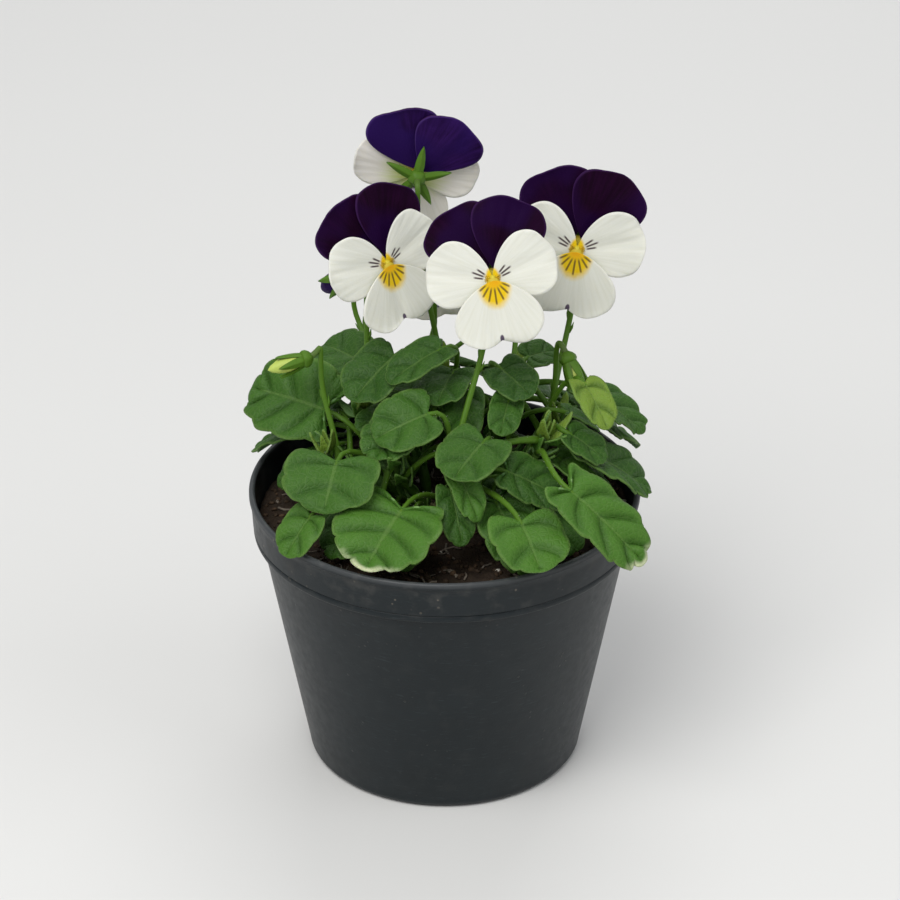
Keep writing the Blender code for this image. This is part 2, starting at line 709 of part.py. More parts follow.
def is_clear(site, frame, petiole, stem, obstacles):
    """Whether a blade and its petiole stay clear of everything but the petiole's own stem."""
    guard = blade_guard(site, frame)
    samples = []
    for before, after in zip(petiole, petiole[1:]):
        samples += [before.lerp(after, share / 4) for share in range(4)]
    middle = frame @ Vector((0, site.length / 2, 0))
    clearance = PETIOLE_RADIUS + 1.5 * GAP
    for tree, centre, reach, owner in obstacles:
        if (middle - centre).length < reach + site.length and guard.overlap(tree):
            return False
        if owner == stem:
            continue
        for sample in samples:
            if (sample - centre).length < reach + clearance and tree.find_nearest(sample, clearance)[0]:
                return False
    return True


def wanted_sites(draw):
    """The front leaves, rings of leaves round the dome in slight disorder, and small ones between."""
    filling = []
    for index, (rise, layer, count, length) in enumerate(LEAF_RINGS):
        for step in range(count):
            azimuth = (step + 0.5 * (index % 2)) * 360 / count - 180
            size = length * draw.uniform(*RING_SIZE)
            spin = draw.uniform(-RING_SPIN, RING_SPIN)
            filling.append(Site(azimuth, rise, layer, spin, size, size * draw.uniform(*RING_WIDTH)))
    for _ in range(FILL_SITES):
        size = draw.uniform(*FILL_LENGTHS)
        rise = math.degrees(math.asin(draw.uniform(*FILL_RISE)))
        azimuth, layer = draw.uniform(-180, 180), draw.uniform(*FILL_LAYER)
        filling.append(Site(azimuth, rise, layer, 0, size, size * FILL_WIDTH))
    for site in filling:
        if FRONT_SECTOR[0] < site.azimuth < FRONT_SECTOR[1]:
            site.layer *= FRONT_LAYER
    return list(FRONT_SITES) + filling


def loosened(wanted, loose, draw):
    """A site near the wanted one, and a turn of its blade: further from them the looser it is."""
    azimuth = wanted.azimuth + draw.uniform(-LOOSE_AZIMUTH, LOOSE_AZIMUTH) * loose
    rise = wanted.rise + draw.uniform(-LOOSE_RISE, LOOSE_RISE) * loose
    layer = wanted.layer + draw.uniform(*LOOSE_LAYER) * loose
    spin = wanted.spin + draw.uniform(-LOOSE_SPIN, LOOSE_SPIN) * loose
    shrink = 1 - LOOSE_SIZE * loose
    roll = Matrix.Rotation(math.radians(draw.uniform(-LOOSE_ROLL, LOOSE_ROLL) * loose), 4, "Y")
    pitch = Matrix.Rotation(math.radians(draw.uniform(-LOOSE_PITCH, LOOSE_PITCH) * loose), 4, "X")
    size = wanted.length * shrink, wanted.width * shrink
    return Site(azimuth, rise, layer, spin, *size, wanted.lean, wanted.face), roll @ pitch


def place_leaf(wanted, draw, paths, obstacles):
    """Looks for a clear place near the wanted one, moving further from it at each try."""
    for attempt in range(TRIES):
        site, turn = loosened(wanted, attempt / TRIES, draw)
        frame = blade_frame(site) @ turn
        base, tip = frame.translation, frame.col[1].to_3d()
        nearest = sorted(range(len(paths)), key=lambda index: (paths[index][-1] - base).length)
        stem = draw.choice(nearest[:STEM_CHOICE])
        path = paths[stem]
        along = draw.uniform(1.5, len(path) - 1.2)
        attach = path[int(along)].lerp(path[int(along) + 1], along % 1)
        span = base - attach
        if not MIN_PETIOLE < span.length < MAX_PETIOLE or span.dot(tip) < 0:
            continue
        petiole = petiole_path(attach, frame, site.length)
        if is_clear(site, frame, petiole, stem, obstacles):
            return Leaf(stem, frame, site.length, site.width, petiole)
    return None


def leaf_objects(leaf, collection):
    """A leaf's petiole and its crenate blade."""
    radii = [PETIOLE_RADIUS] * (PETIOLE_POINTS - 1) + [PETIOLE_TIP_RADIUS] * 2
    petiole = tube("petiole", leaf.petiole, radii, collection, 0)
    spine = [leaf.length * share for share in MIDRIB]
    blade = thin_sheet("blade", blade_outline(leaf.length, leaf.width), spine,
                       lambda x, y: blade_height(x, y, leaf.length), BLADE_THICKNESS, collection, leaf.frame)
    return [petiole, blade]


def make_stem(stem, number, collection):
    """A leafy stem's own tube, and the stalk and calyx of each bloom and bud that it carries."""
    path = stem_path(stem)
    name = f"leafy_stem_{number + 1}"
    tube_object = tube(name, path, taper(STEM_RADIUS, STEM_TIP_RADIUS, len(path)), collection)
    heads = []
    for head in BLOOMS + GREEN_BUDS + DARK_BUDS:
        if head.stem != number:
            continue
        depth = BLOOM_DEPTH if head in BLOOMS else 0
        points = stalk_path(head, depth)
        stalk = tube("stalk", points, [STALK_RADIUS] * len(points), collection)
        spread = SEPAL_SPREAD if depth else DARK_BUD_SPREAD if head in DARK_BUDS else GREEN_BUD_SPREAD
        pieces = [stalk] + make_calyx(head, depth, spread, collection)
        if head in GREEN_BUDS:
            pieces.append(bud_body(head, "bud", RECEPTACLE_DEPTH / 2, collection))
        heads.append(pieces)
    return tube_object, heads


def main():
    """Builds the pot, the compost, the crown, the leafy stems and the petals."""
    for item in list(bpy.data.objects):
        bpy.data.objects.remove(item)
    collection = bpy.data.collections.new("horned_violet")
    bpy.context.scene.collection.children.link(collection)
    black = make_material("pot_plastic", (0.032, 0.038, 0.044), 0.45)
    earth = make_material("compost", (0.03, 0.02, 0.013), 0.95)
    bark = make_material("crown_bark", (0.16, 0.13, 0.06), 0.8)
    green = make_material("leaf_green", (0.06, 0.165, 0.04), 0.6)
    violet = make_material("petal_violet", (0.022, 0.003, 0.055), 0.6)
    white = make_material("petal_white", (0.87, 0.85, 0.74), 0.6)

    make_pot(collection).data.materials.append(black)
    make_compost(collection).data.materials.append(earth)
    crown = make_crown(collection)
    crown.data.materials.append(bark)

    obstacles = [(*pot_guard(), None), (*surface_tree([crown]), None)]
    for head in BLOOMS:
        upper, lower = make_petals(head, collection)
        upper.data.materials.append(violet)
        lower.data.materials.append(white)
        obstacles += [(*surface_tree([upper]), None), (*surface_tree([lower]), None)]
    for head in DARK_BUDS:
        body = bud_body(head, head.name + "_petals", -GAP, collection)
        body.data.materials.append(violet)
        obstacles.append((*surface_tree([body]), None))

    stems = [make_stem(stem, number, collection) for number, stem in enumerate(STEMS)]
    for number, (stem, heads) in enumerate(stems):
        obstacles += [(*surface_tree(pieces), number) for pieces in [[stem]] + heads]

    draw = random.Random(SEED)
    paths = [stem_path(stem) for stem in STEMS]
    leaves = []
    for site in wanted_sites(draw):
        leaf = len(leaves) < MOST_LEAVES and place_leaf(site, draw, paths, obstacles)
        if leaf:
            pieces = leaf_objects(leaf, collection)
            obstacles.append((*surface_tree(pieces), -1))
            leaves.append((leaf, pieces))

    for number, (stem, heads) in enumerate(stems):
        pieces = [piece for group in heads for piece in group]
        pieces += [piece for leaf, group in leaves if leaf.stem == number for piece in group]
        combine(stem, pieces, "UNION")
        fill_pockets(stem)
        stem.data.materials.clear()
        stem.data.materials.append(green)


main()
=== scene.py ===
"""The looks of a horned violet in its black nursery pot.

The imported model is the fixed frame, and every node of it is replaced by a finer piece of the same form. The
layout repeats the model's own rules: the same stems, heads and petals, and the same random draw for the
leaves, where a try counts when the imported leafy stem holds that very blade.
"""

import math
import random
from dataclasses import dataclass

import bmesh
import bpy
import numpy as np
from mathutils import Matrix, Vector, noise
from mathutils.bvhtree import BVHTree
from mathutils.geometry import interpolate_bezier
from mathutils.kdtree import KDTree


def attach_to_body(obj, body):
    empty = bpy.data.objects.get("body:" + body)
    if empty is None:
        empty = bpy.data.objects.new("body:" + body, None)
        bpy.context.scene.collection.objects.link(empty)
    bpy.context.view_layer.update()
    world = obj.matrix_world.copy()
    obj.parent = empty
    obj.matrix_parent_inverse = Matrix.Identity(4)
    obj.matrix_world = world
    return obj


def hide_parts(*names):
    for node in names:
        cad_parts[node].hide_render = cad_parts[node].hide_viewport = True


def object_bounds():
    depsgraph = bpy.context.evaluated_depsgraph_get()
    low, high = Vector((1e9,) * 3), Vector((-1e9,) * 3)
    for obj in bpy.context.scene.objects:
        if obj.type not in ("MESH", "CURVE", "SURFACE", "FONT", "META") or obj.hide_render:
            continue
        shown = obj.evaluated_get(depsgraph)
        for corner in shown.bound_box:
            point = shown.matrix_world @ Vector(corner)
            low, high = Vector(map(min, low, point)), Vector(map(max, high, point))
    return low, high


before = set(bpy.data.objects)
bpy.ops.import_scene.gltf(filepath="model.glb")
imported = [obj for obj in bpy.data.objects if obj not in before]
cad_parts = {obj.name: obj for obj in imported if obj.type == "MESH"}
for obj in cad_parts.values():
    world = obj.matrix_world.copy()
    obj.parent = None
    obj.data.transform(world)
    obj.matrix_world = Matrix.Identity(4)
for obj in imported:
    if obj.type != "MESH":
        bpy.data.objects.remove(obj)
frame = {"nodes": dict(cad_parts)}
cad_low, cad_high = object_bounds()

MM = 0.001
UP = Vector((0, 0, 1))
# The turn between one leaf and the next, in radians and in degrees
GOLDEN_TURN, GOLDEN_DEGREES = 2.4, 137.5

# The pot, the compost and the crown, as the model has them
POT_HEIGHT = 68 * MM
RIM_RADIUS = 45 * MM
BAND_HEIGHT = 10.5 * MM
BAND_TAPER = 0.5 * MM
LEDGE_WIDTH = 1.6 * MM
BASE_RADIUS = 32 * MM
BASE_CORNER = 2 * MM
WALL = 1.0 * MM
LIP_HEIGHT = 1.6 * MM
LIP_OUT = 0.4 * MM
FLOOR = 1.6 * MM
DRAIN_COUNT, DRAIN_RADIUS, DRAIN_RING = 8, 2.8 * MM, 23 * MM
LEDGE_Z = POT_HEIGHT - BAND_HEIGHT
BAND_TOP_RADIUS = RIM_RADIUS - LIP_OUT
BAND_FOOT_RADIUS = BAND_TOP_RADIUS - BAND_TAPER
BODY_TOP_RADIUS = BAND_FOOT_RADIUS - LEDGE_WIDTH
GAP = 0.3 * MM
SOIL_TOP = 60 * MM
SOIL_RISE = 1.8 * MM
CROWN_RADIUS, CROWN_TOP = 4.0 * MM, 3.0 * MM

# The stems, the leaves and the heads, as the model has them
STEM_RADIUS, STEM_TIP_RADIUS = 1.3 * MM, 0.9 * MM
STEM_RING, STEM_DEPTH = 8.5 * MM, 9 * MM
STEM_UPRIGHT, STEM_BEND = 3 * MM, 8 * MM
STEM_POINTS = 5
PETIOLE_RISE, PETIOLE_HANDLE = 0.7, 0.35
HOOK_BACK, HOOK_TOP, HOOK_ARCH = 4.5 * MM, 5 * MM, 9.1 * MM
HOOK_DROP, BUD_HOOK_DROP = 8 * MM, 3 * MM
DOME_RADIUS, DOME_HEIGHT, DOME_FOOT = 42 * MM, 36 * MM, -3 * MM
BLADE_POINTS, SMALL_POINTS, SMALL_LEAF = 20, 12, 15 * MM
TOOTH_DEPTH, HEART, OVATE, BLUNT, FOLD, DROOP = 0.075, 0.66, 0.08, 0.76, 0.15, 0.16
BLADE_MIDDLE = 0.45
SEED, TRIES, STEM_CHOICE, MOST_LEAVES = 11, 300, 3, 92
LEAN_OUT, LEAN_UP = 0.6, 0.7
MIN_PETIOLE, MAX_PETIOLE = 6 * MM, 30 * MM
CLAW_WIDTH = 1.3
BLOOM_DEPTH = 4.6 * MM
RECEPTACLE_Y, RECEPTACLE_RADIUS, RECEPTACLE_DEPTH = 1.3 * MM, 2.0 * MM, 1.6 * MM
SEPAL_COUNT, SEPAL_LENGTH, SEPAL_WIDTH = 5, 7 * MM, 2.2 * MM
SEPAL_SPREAD, DARK_BUD_SPREAD, GREEN_BUD_SPREAD, BUD_SEPAL_CUP = 84, 35, 20, 1.2 * MM
BUD_RADIUS = 0.22
BUD_HEIGHTS, BUD_WIDTHS = (0.02, 0.2, 0.45, 0.7, 0.9, 1), (0.35, 0.85, 1, 0.8, 0.42, 0)

# How a dressed blade departs from a plain one, lengths as shares of its own
TOOTH_SKEW, TOOTH_FINE, TOOTH_ROUND = 0.1, 1.25, 0.6
SPINE_START, SPINE_SPAN = 0.02, 0.86
VEIN_SLANT, VEIN_SPREAD = 0.32, 0.11
QUILTING, GROOVE, EDGE_WAVE, SLOW_WAVE = 0.045, 0.03, 0.018, 0.01
# The dressed sheets are thinner than the solids
LEAF_THICKNESS, PETAL_THICKNESS = 0.42 * MM, 0.34 * MM
# A petal's unevenness: its rippled edge, its ruffles and slow waves, the hollow down it and its fine creases
RIPPLE, RUFFLE, ROLL, KEEL, CREASE = 0.012, 0.5 * MM, 0.3 * MM, 0.45 * MM, 0.05 * MM
# A small blade looks this far ahead for a leaf, as a share of its length, and keeps this share of the way
LOOK_AHEAD, KEPT_SHARE, LEAST_BLADE = 1.7, 0.55, 1.2 * MM
# The young leaves at a tip: how far the first leans out and its length in millimetres, and what the next adds
SHOOT_LEAVES, SHOOT_LEAN, SHOOT_OPENING = 5, 0.25, 0.22
SHOOT_LENGTH, SHOOT_GROWTH = 4.5, 0.9
# A stipule: its turn from the petiole in radians, its lengths in millimetres, its form and its lobes
STIPULE_TURN, STIPULE_LENGTHS = 1.1, (5, 7.5)
STIPULE_HALF, STIPULE_FOOT, STIPULE_FOLD, LOBES, LOBE_DEPTH = 0.2, 0.06, 0.25, 5, 0.34
# A sepal's thickness in its middle and at its edge, the keel below it, and how far its ear bends down
SEPAL_BODY, SEPAL_EDGE, SEPAL_KEEL, KEEL_WIDTH, EAR_DROP = 0.3 * MM, 0.04 * MM, 0.2 * MM, 0.3 * MM, 0.5 * MM
# The folds of a bud's rolled petals: their number, their depth as a share, and their turns up to the tip
BUD_FOLDS, BUD_FOLD, BUD_TWIST = 3, 0.09, 1.3
# Where a petiole runs on under its blade, in shares of the blade's length, and how far below it
MIDRIB_SHARES, MIDRIB_DEPTH = (0.06, 0.14, 0.25, 0.4, 0.56, 0.72), 0.28 * MM
# The two scales on a flower stalk: how far they are turned to each side in radians, and at which points
SCALE_TURN, SCALE_PLACES = 1.4, ((-1, 8), (1, 9))

# Tubes, all in millimetres: petioles and stalks by their radii, a scale by its way aside and ahead, a calyx's
# cup by its depths, and the parts in a bloom's throat by height and depth
PETIOLE_RADII = (0.95, 0.75, 0.66, 0.62, 0.58, 0.5, 0.42, 0.3, 0.16)
STALK_RADII = (0.85, 0.68, 0.64, 0.62, 0.66, 0.8)
SCALE, SCALE_RADII = ((0.4, 0), (0.9, 1.2), (1.1, 2.6)), (0.4, 0.32, 0.05)
CUP_DEPTHS, CUP_RADII = (-2.6, -1.9, -1.2, -0.5, 0), (0.7, 1.5, 1.95, 2.0, 1.7)
SPUR, SPUR_RADII = ((-1.3, -1.5), (-2.6, -4.6), (-3.2, -8.0)), (1.2, 1.05, 0.95, 0.85, 0.5)
CLAW, CLAW_RADII = ((0.9, -4.3), (0.5, -3), (-0.2, -1.2), (-0.8, 0.9)), (1.5, 1.3, 1.25, 1.35)
STIGMA = ((0.8, -0.6), (0.7, 0.0), (0.5, 0.45), (0.25, 0.75), (0.05, 0.85))
STIGMA_RADII = (0.4, 0.6, 0.65, 0.45, 0.15)
# The crown by its drop below the top in millimetres, and its radii as shares of CROWN_RADIUS
CROWN_DROPS = (0, 0.2, 0.7, 1.5, 3, 6, 11, 15, 27, 39)
CROWN_RADII = (0.2, 0.45, 0.72, 0.92, 1, 1, 0.78, 0.62, 0.42, 0.28)
# What lies loose or stands fine, by number and size; the ranges are drawn from, in millimetres
PETIOLE_HAIRS, HAIR_LENGTH, HAIR_RADIUS = 26, 0.55 * MM, 0.035 * MM
BEARD_HAIRS, BEARD_LENGTH, BEARD_RADIUS = 34, 0.8 * MM, 0.06 * MM
BEARD_ACROSS, BEARD_UP = (0.9, 1.9), (0, 1.3)
CRUMBS, FIBRES, LEAF_BASES = 1500, 130, 16
LUMP_SPACING, LUMP_HEIGHT = 7 * MM, 1.1 * MM
CRUMB_SPACING, CRUMB_HEIGHT = 1.6 * MM, 0.9 * MM
CRUMB_SIZES, LARGE_CRUMB, LARGE_EVERY, PALE_EVERY = (0.25, 0.95), 1.5, 17, 61
FIBRE_LENGTHS, FIBRE_RADII, FIBRE_BEND, FIBRE_LIFT = (2, 6), (0.12, 0.3), 0.7, 0.35 * MM

# Fineness of the meshes
LEAF_LOOP, LEAF_RINGS_FINE = 160, 9
PETAL_LOOP, PETAL_RINGS = 144, 12
SMALL_LOOP, SMALL_RINGS = 40, 4
BUD_SIDES, BUD_ROWS = 30, 21
POT_SEGMENTS = 192
SOIL_SEGMENTS, SOIL_RINGS = 220, 64

# The camera, at the photograph's viewing angle
VIEW_AZIMUTH, VIEW_ELEVATION = -11, 29
VIEW_DISTANCE = 0.9
SENSOR = 36.0
FILL_SHARE = 0.88


@dataclass
class Stem:
    """A leafy stem: its azimuth round the crown, and where its tip is, with its rise over the rim."""

    azimuth: float
    tip_azimuth: float
    tip_radius: float
    tip_rise: float


@dataclass
class Site:
    """Where a blade's middle sits on the leaf dome, which way its tip is turned, and its size.

    Lean is the share of the common outward lean that the blade has, and face how far it also looks to the
    plant's front.
    """

    azimuth: float
    rise: float
    layer: float
    spin: float
    length: float
    width: float
    lean: float = 1
    face: float = 0


@dataclass
class Leaf:
    """A placed leaf: the blade's frame has the petiole's end as its origin and the tip along +Y."""

    stem: int
    frame: Matrix
    length: float
    width: float
    attach: Vector
    shade: float
    pale_tip: float


@dataclass
class Head:
    """A bloom or a bud: its stem, where its eye or its receptacle is, and which way it looks."""

    name: str
    stem: int
    place: Vector
    azimuth: float
    elevation: float
    roll: float
    size: float


@dataclass
class Petal:
    """A petal in the bloom's frame: its axis turned from straight up, its size, its depth and its curl.

    The lower its claw value is, the broader the petal starts.
    """

    turn: float
    start: float
    length: float
    width: float
    notch: float
    depth: float
    curl: float
    claw: float = 1


def above_rim(x, y, z):
    """A point given in millimetres from the centre of the pot's mouth."""
    return Vector((x * MM, y * MM, POT_HEIGHT + z * MM))


STEMS = (
    Stem(0, -4, 16 * MM, 12 * MM),
    Stem(40, 56, 25 * MM, 18 * MM),
    Stem(80, 88, 27 * MM, 14 * MM),
    Stem(120, 126, 25 * MM, 18 * MM),
    Stem(160, 172, 18 * MM, 20 * MM),
    Stem(-160, -162, 26 * MM, 16 * MM),
    Stem(-120, -112, 20 * MM, 18 * MM),
    Stem(-80, -86, 28 * MM, 13 * MM),
    Stem(-40, -48, 20 * MM, 17 * MM),
)

BLOOMS = (
    Head("bloom_left", 6, above_rim(-11.5, 8, 53.5), 20, 14, 10, 0.96),
    Head("bloom_centre", 0, above_rim(9, -10, 56.5), -8, 20, 8, 0.98),
    Head("bloom_right", 2, above_rim(32, 8, 53), -12, 6, -8, 1.03),
    Head("bloom_back", 4, above_rim(-1.5, 28, 66.5), 172, 4, 12, 0.96),
    Head("bloom_rear", 5, above_rim(6, 40, 34), 166, 14, -6, 0.95),
)
GREEN_BUDS = (
    Head("bud_left", 7, above_rim(-32, 4, 33.5), -80, -8, 0, 9 * MM),
    Head("bud_right", 2, above_rim(28, -4, 31), 30, -55, 0, 8 * MM),
)
DARK_BUDS = (
    Head("bud_rear_left", 5, above_rim(-16, 42, 34), -160, -35, 0, 12 * MM),
    Head("bud_rear_right", 3, above_rim(27, 34, 34), 130, -30, 0, 12 * MM),
)

UPPER_PETALS = (
    Petal(25, 2.0 * MM, 17.0 * MM, 17.5 * MM, 0, -1.7 * MM, -1.6 * MM),
    Petal(-27, 2.0 * MM, 16.5 * MM, 17.5 * MM, 0, -2.8 * MM, -1.6 * MM),
)
LOWER_PETALS = (
    Petal(74, 0, 15.2 * MM, 15.5 * MM, 0, 0, -0.9 * MM, 0.6),
    Petal(-74, 0, 15.2 * MM, 15.5 * MM, 0, 0, -0.9 * MM, 0.6),
    Petal(180, 0, 16.2 * MM, 20.5 * MM, 2.4 * MM, 1.0 * MM, -0.4 * MM, 0.45),
)
# How the markings know a petal: the lip, a side petal or an upper one
LIP, SIDE, UPPER = 0, 1, 2

FRONT_SITES = (
    Site(-106, 39, 1.07, -15, 22 * MM, 22 * MM, 1, 1),
    Site(-32, 16, 0.93, -5, 18 * MM, 25 * MM, 0.3, 0.15),
    Site(15, 15, 1.08, -5, 14 * MM, 18 * MM, 0.5, 0),
    Site(36, 16, 1.24, 10, 23 * MM, 16 * MM, 0.8, 0.2),
    Site(-54, 26, 0.94, 30, 14 * MM, 24 * MM, 0.6, 0.3),
    Site(34, 38, 0.9, 40, 18 * MM, 15 * MM, 1, 0.5),
    Site(-43, 60, 0.87, -30, 13 * MM, 15 * MM, 1, 0.7),
    Site(-91, 67, 0.99, 40, 15 * MM, 15 * MM, 1, 0.5),
    Site(23, 72, 0.7, -25, 15 * MM, 11 * MM, 1, 0.5),
    Site(5, 39, 0.76, 30, 16 * MM, 8.5 * MM, 1, 0.4),
    Site(-5, 24, 0.76, 5, 13 * MM, 8.5 * MM, 1, 0.3),
    Site(69, 45, 1.14, -55, 13 * MM, 10 * MM, 1, 0.4),
    Site(-57, 13, 1.06, 0, 11 * MM, 11 * MM, 1, 0.2),
    Site(58, 34, 1, 0, 10 * MM, 9.5 * MM, 1, 0.3),
    Site(-71, 80, 1.04, 10, 15 * MM, 11 * MM, 0.8, 0.2),
    Site(65, 74, 0.98, -40, 13 * MM, 13 * MM, 1, 0.4),
    Site(39, 61, 0.86, -60, 10 * MM, 8 * MM, 1, 0.4),
)
# Which front leaves are light, which are young and yellowish, and which end in a bleached edge
BRIGHT_SITES, BRIGHT_SHADE = (1, 2, 3, 9, 12), 0.85
YOUNG_SITES, YOUNG_SHADE = (11,), 1.15
PALE_TIPS = (1, 3)
LOW_SHADE, SHADE_FALL, SHADE_SPREAD = 0.42, 0.3, 0.12

LEAF_RINGS = (
    (14, 1.0, 13, 22 * MM),
    (36, 1.0, 12, 20 * MM),
    (58, 1.0, 8, 18 * MM),
    (80, 0.98, 3, 15 * MM),
)
FILL_SITES = 240
FILL_LENGTHS = (10 * MM, 15.5 * MM)
FILL_RISE, FILL_LAYER, FILL_WIDTH = (0.12, 1), (0.55, 1), 0.9
RING_SIZE, RING_SPIN, RING_WIDTH = (0.85, 1.12), 30, (0.8, 1.02)
# How far the last try is from the wanted place: azimuth, rise, layer, spin, roll, pitch and lost size
LOOSE_AZIMUTH, LOOSE_RISE, LOOSE_LAYER = 24, 16, (-0.16, 0.12)
LOOSE_SPIN, LOOSE_ROLL, LOOSE_PITCH, LOOSE_SIZE = 50, 25, 20, 0.25
# Between these azimuths the filling leaves stay under the front ones
FRONT_SECTOR = (-108, 56)
FRONT_LAYER = 0.78
# A blade is the model's own if so many of these corners, as shares of the way round it, are met so closely
TESTED_CORNERS, ENOUGH_MET, MEETS = (0.5, 0.25, 0.75, 0.35, 0.65), 3, 0.004 * MM


# Layout


def outward(azimuth):
    """The level direction at an azimuth: 0 is the front, -Y, and 90 the right, +X."""
    angle = math.radians(azimuth)
    return Vector((math.sin(angle), -math.cos(angle), 0))


def look_from(azimuth, elevation):
    """The direction from the object to a viewer."""
    lift = math.radians(elevation)
    return outward(azimuth) * math.cos(lift) + UP * math.sin(lift)


def axes_of(right, ahead, above):
    """A turn that takes X, Y and Z to three directions."""
    return Matrix((right, ahead, above)).transposed().to_4x4()


def square_to(way, turn):
    """A direction square to a way, turned round it."""
    return Matrix.Rotation(turn, 3, way) @ way.orthogonal().normalized()


def bloom_frame(head):
    """A bloom's frame, with its eye at the origin, looking along +Z and rolled about it."""
    right = Vector((math.cos(math.radians(head.azimuth)), math.sin(math.radians(head.azimuth)), 0))
    look = look_from(head.azimuth, head.elevation)
    axes = axes_of(right, look.cross(right), look)
    return Matrix.Translation(head.place) @ axes @ Matrix.Rotation(math.radians(head.roll), 4, "Z")


def head_frame(head, depth):
    """The receptacle's frame behind a bloom's eye, or at a bud's own place."""
    return bloom_frame(head) @ Matrix.Translation((0, RECEPTACLE_Y if depth else 0, -depth))


def stem_path(stem, count=STEM_POINTS):
    """A stem's points: straight up out of the compost, then out to its tip."""
    foot = outward(stem.azimuth) * STEM_RING
    ground = foot + UP * (SOIL_TOP + STEM_UPRIGHT)
    tip = outward(stem.tip_azimuth) * stem.tip_radius + UP * (POT_HEIGHT + stem.tip_rise)
    knots = (ground, ground + UP * STEM_BEND, tip - UP * STEM_BEND, tip)
    return [foot + UP * (SOIL_TOP - STEM_DEPTH)] + interpolate_bezier(*knots, count)


def stalk_path(head, depth, count=14):
    """A flower stalk's points: up from the stem's tip, over a hook, and down into the receptacle."""
    socket = head_frame(head, depth)
    end, look = socket.translation, socket.col[2].to_3d().normalized()
    knee = end - outward(head.azimuth) * HOOK_BACK - UP * (HOOK_DROP if depth else BUD_HOOK_DROP)
    root = stem_path(STEMS[head.stem])[-2]
    rise = UP * (knee - root).length * 0.4
    climb = interpolate_bezier(root, root + rise, knee - rise, knee, count)
    over = knee + UP * HOOK_ARCH
    hook = interpolate_bezier(knee, over, end - look * HOOK_TOP, end - look * MM, count)
    return climb + hook[1:]


def petiole_path(leaf, count=10):
    """A petiole's points, from the stem up to the blade's base and on under its midrib."""
    base, tip = leaf.frame.translation, leaf.frame.col[1].to_3d()
    span = base - leaf.attach
    rise = (span.normalized() + UP * PETIOLE_RISE).normalized()
    handle = PETIOLE_HANDLE * span.length
    run = interpolate_bezier(leaf.attach, leaf.attach + rise * handle, base - tip * handle, base, count)
    for share in MIDRIB_SHARES:
        y = share * leaf.length
        run.append(leaf.frame @ Vector((0, y, -DROOP * y * y / leaf.length - MIDRIB_DEPTH * (1 - share))))
    return run


def blade_frame(site):
    """The frame of a blade on the dome: its middle on the dome and its tip turned down and outward."""
    rise, out = math.radians(site.rise), outward(site.azimuth)
    middle = out * DOME_RADIUS * math.cos(rise) * site.layer
    middle += UP * (POT_HEIGHT + DOME_FOOT + DOME_HEIGHT * math.sin(rise) * site.layer)
    normal = out * math.cos(rise) * LEAN_OUT * site.lean + UP * (math.sin(rise) + LEAN_UP)
    normal = (normal + outward(0) * site.face).normalized()
    down = (out - normal * out.dot(normal)).normalized()
    tip = Matrix.Rotation(math.radians(site.spin), 3, normal) @ down
    return Matrix.Translation(middle - tip * site.length / 2) @ axes_of(tip.cross(normal), tip, normal)


def wanted_sites(draw):
    """The front leaves, rings of leaves round the dome in slight disorder, and small ones between."""
    filling = []
    for index, (rise, layer, count, length) in enumerate(LEAF_RINGS):
        for step in range(count):
            azimuth = (step + 0.5 * (index % 2)) * 360 / count - 180
            size = length * draw.uniform(*RING_SIZE)
            spin = draw.uniform(-RING_SPIN, RING_SPIN)
            filling.append(Site(azimuth, rise, layer, spin, size, size * draw.uniform(*RING_WIDTH)))
    for _ in range(FILL_SITES):
        size = draw.uniform(*FILL_LENGTHS)
        rise = math.degrees(math.asin(draw.uniform(*FILL_RISE)))
        azimuth, layer = draw.uniform(-180, 180), draw.uniform(*FILL_LAYER)
        filling.append(Site(azimuth, rise, layer, 0, size, size * FILL_WIDTH))
    for site in filling:
        if FRONT_SECTOR[0] < site.azimuth < FRONT_SECTOR[1]:
            site.layer *= FRONT_LAYER
    return list(FRONT_SITES) + filling


def loosened(wanted, loose, draw):
    """A site near the wanted one, and a turn of its blade: further from them the looser it is."""
    azimuth = wanted.azimuth + draw.uniform(-LOOSE_AZIMUTH, LOOSE_AZIMUTH) * loose
    rise = wanted.rise + draw.uniform(-LOOSE_RISE, LOOSE_RISE) * loose
    layer = wanted.layer + draw.uniform(*LOOSE_LAYER) * loose
    spin = wanted.spin + draw.uniform(-LOOSE_SPIN, LOOSE_SPIN) * loose
    shrink = 1 - LOOSE_SIZE * loose
    roll = Matrix.Rotation(math.radians(draw.uniform(-LOOSE_ROLL, LOOSE_ROLL) * loose), 4, "Y")
    pitch = Matrix.Rotation(math.radians(draw.uniform(-LOOSE_PITCH, LOOSE_PITCH) * loose), 4, "X")
    size = wanted.length * shrink, wanted.width * shrink
    return Site(azimuth, rise, layer, spin, *size, wanted.lean, wanted.face), roll @ pitch


def point_count(length):
    """How many corners the model's blade of this length has."""
    return BLADE_POINTS if length > SMALL_LEAF else SMALL_POINTS


def blade_edge(turn, length, width, drawn_in):
    """The edge of a blade at each turn round it from its base, drawn in towards the middle by a share."""
    lobe = HEART * abs(np.sin(turn)) * (0.5 + 0.5 * np.cos(turn)) ** 4
    across = -width / 2 * np.copysign(abs(np.sin(turn)) ** BLUNT, np.sin(turn)) * (1 + OVATE * np.cos(turn))
    along = length * (0.5 - 0.5 * np.cos(turn) - lobe)
    middle = BLADE_MIDDLE * length
    return across * (1 - drawn_in), middle + (along - middle) * (1 - drawn_in)


def blade_corner(step, points, length, width):
    """A corner of the model's blade: every second one is drawn in between two teeth."""
    x, y = blade_edge(math.tau * step / points, length, width, TOOTH_DEPTH * (step % 2))
    return Vector((x, y, FOLD * abs(x) - DROOP * y * y / length))


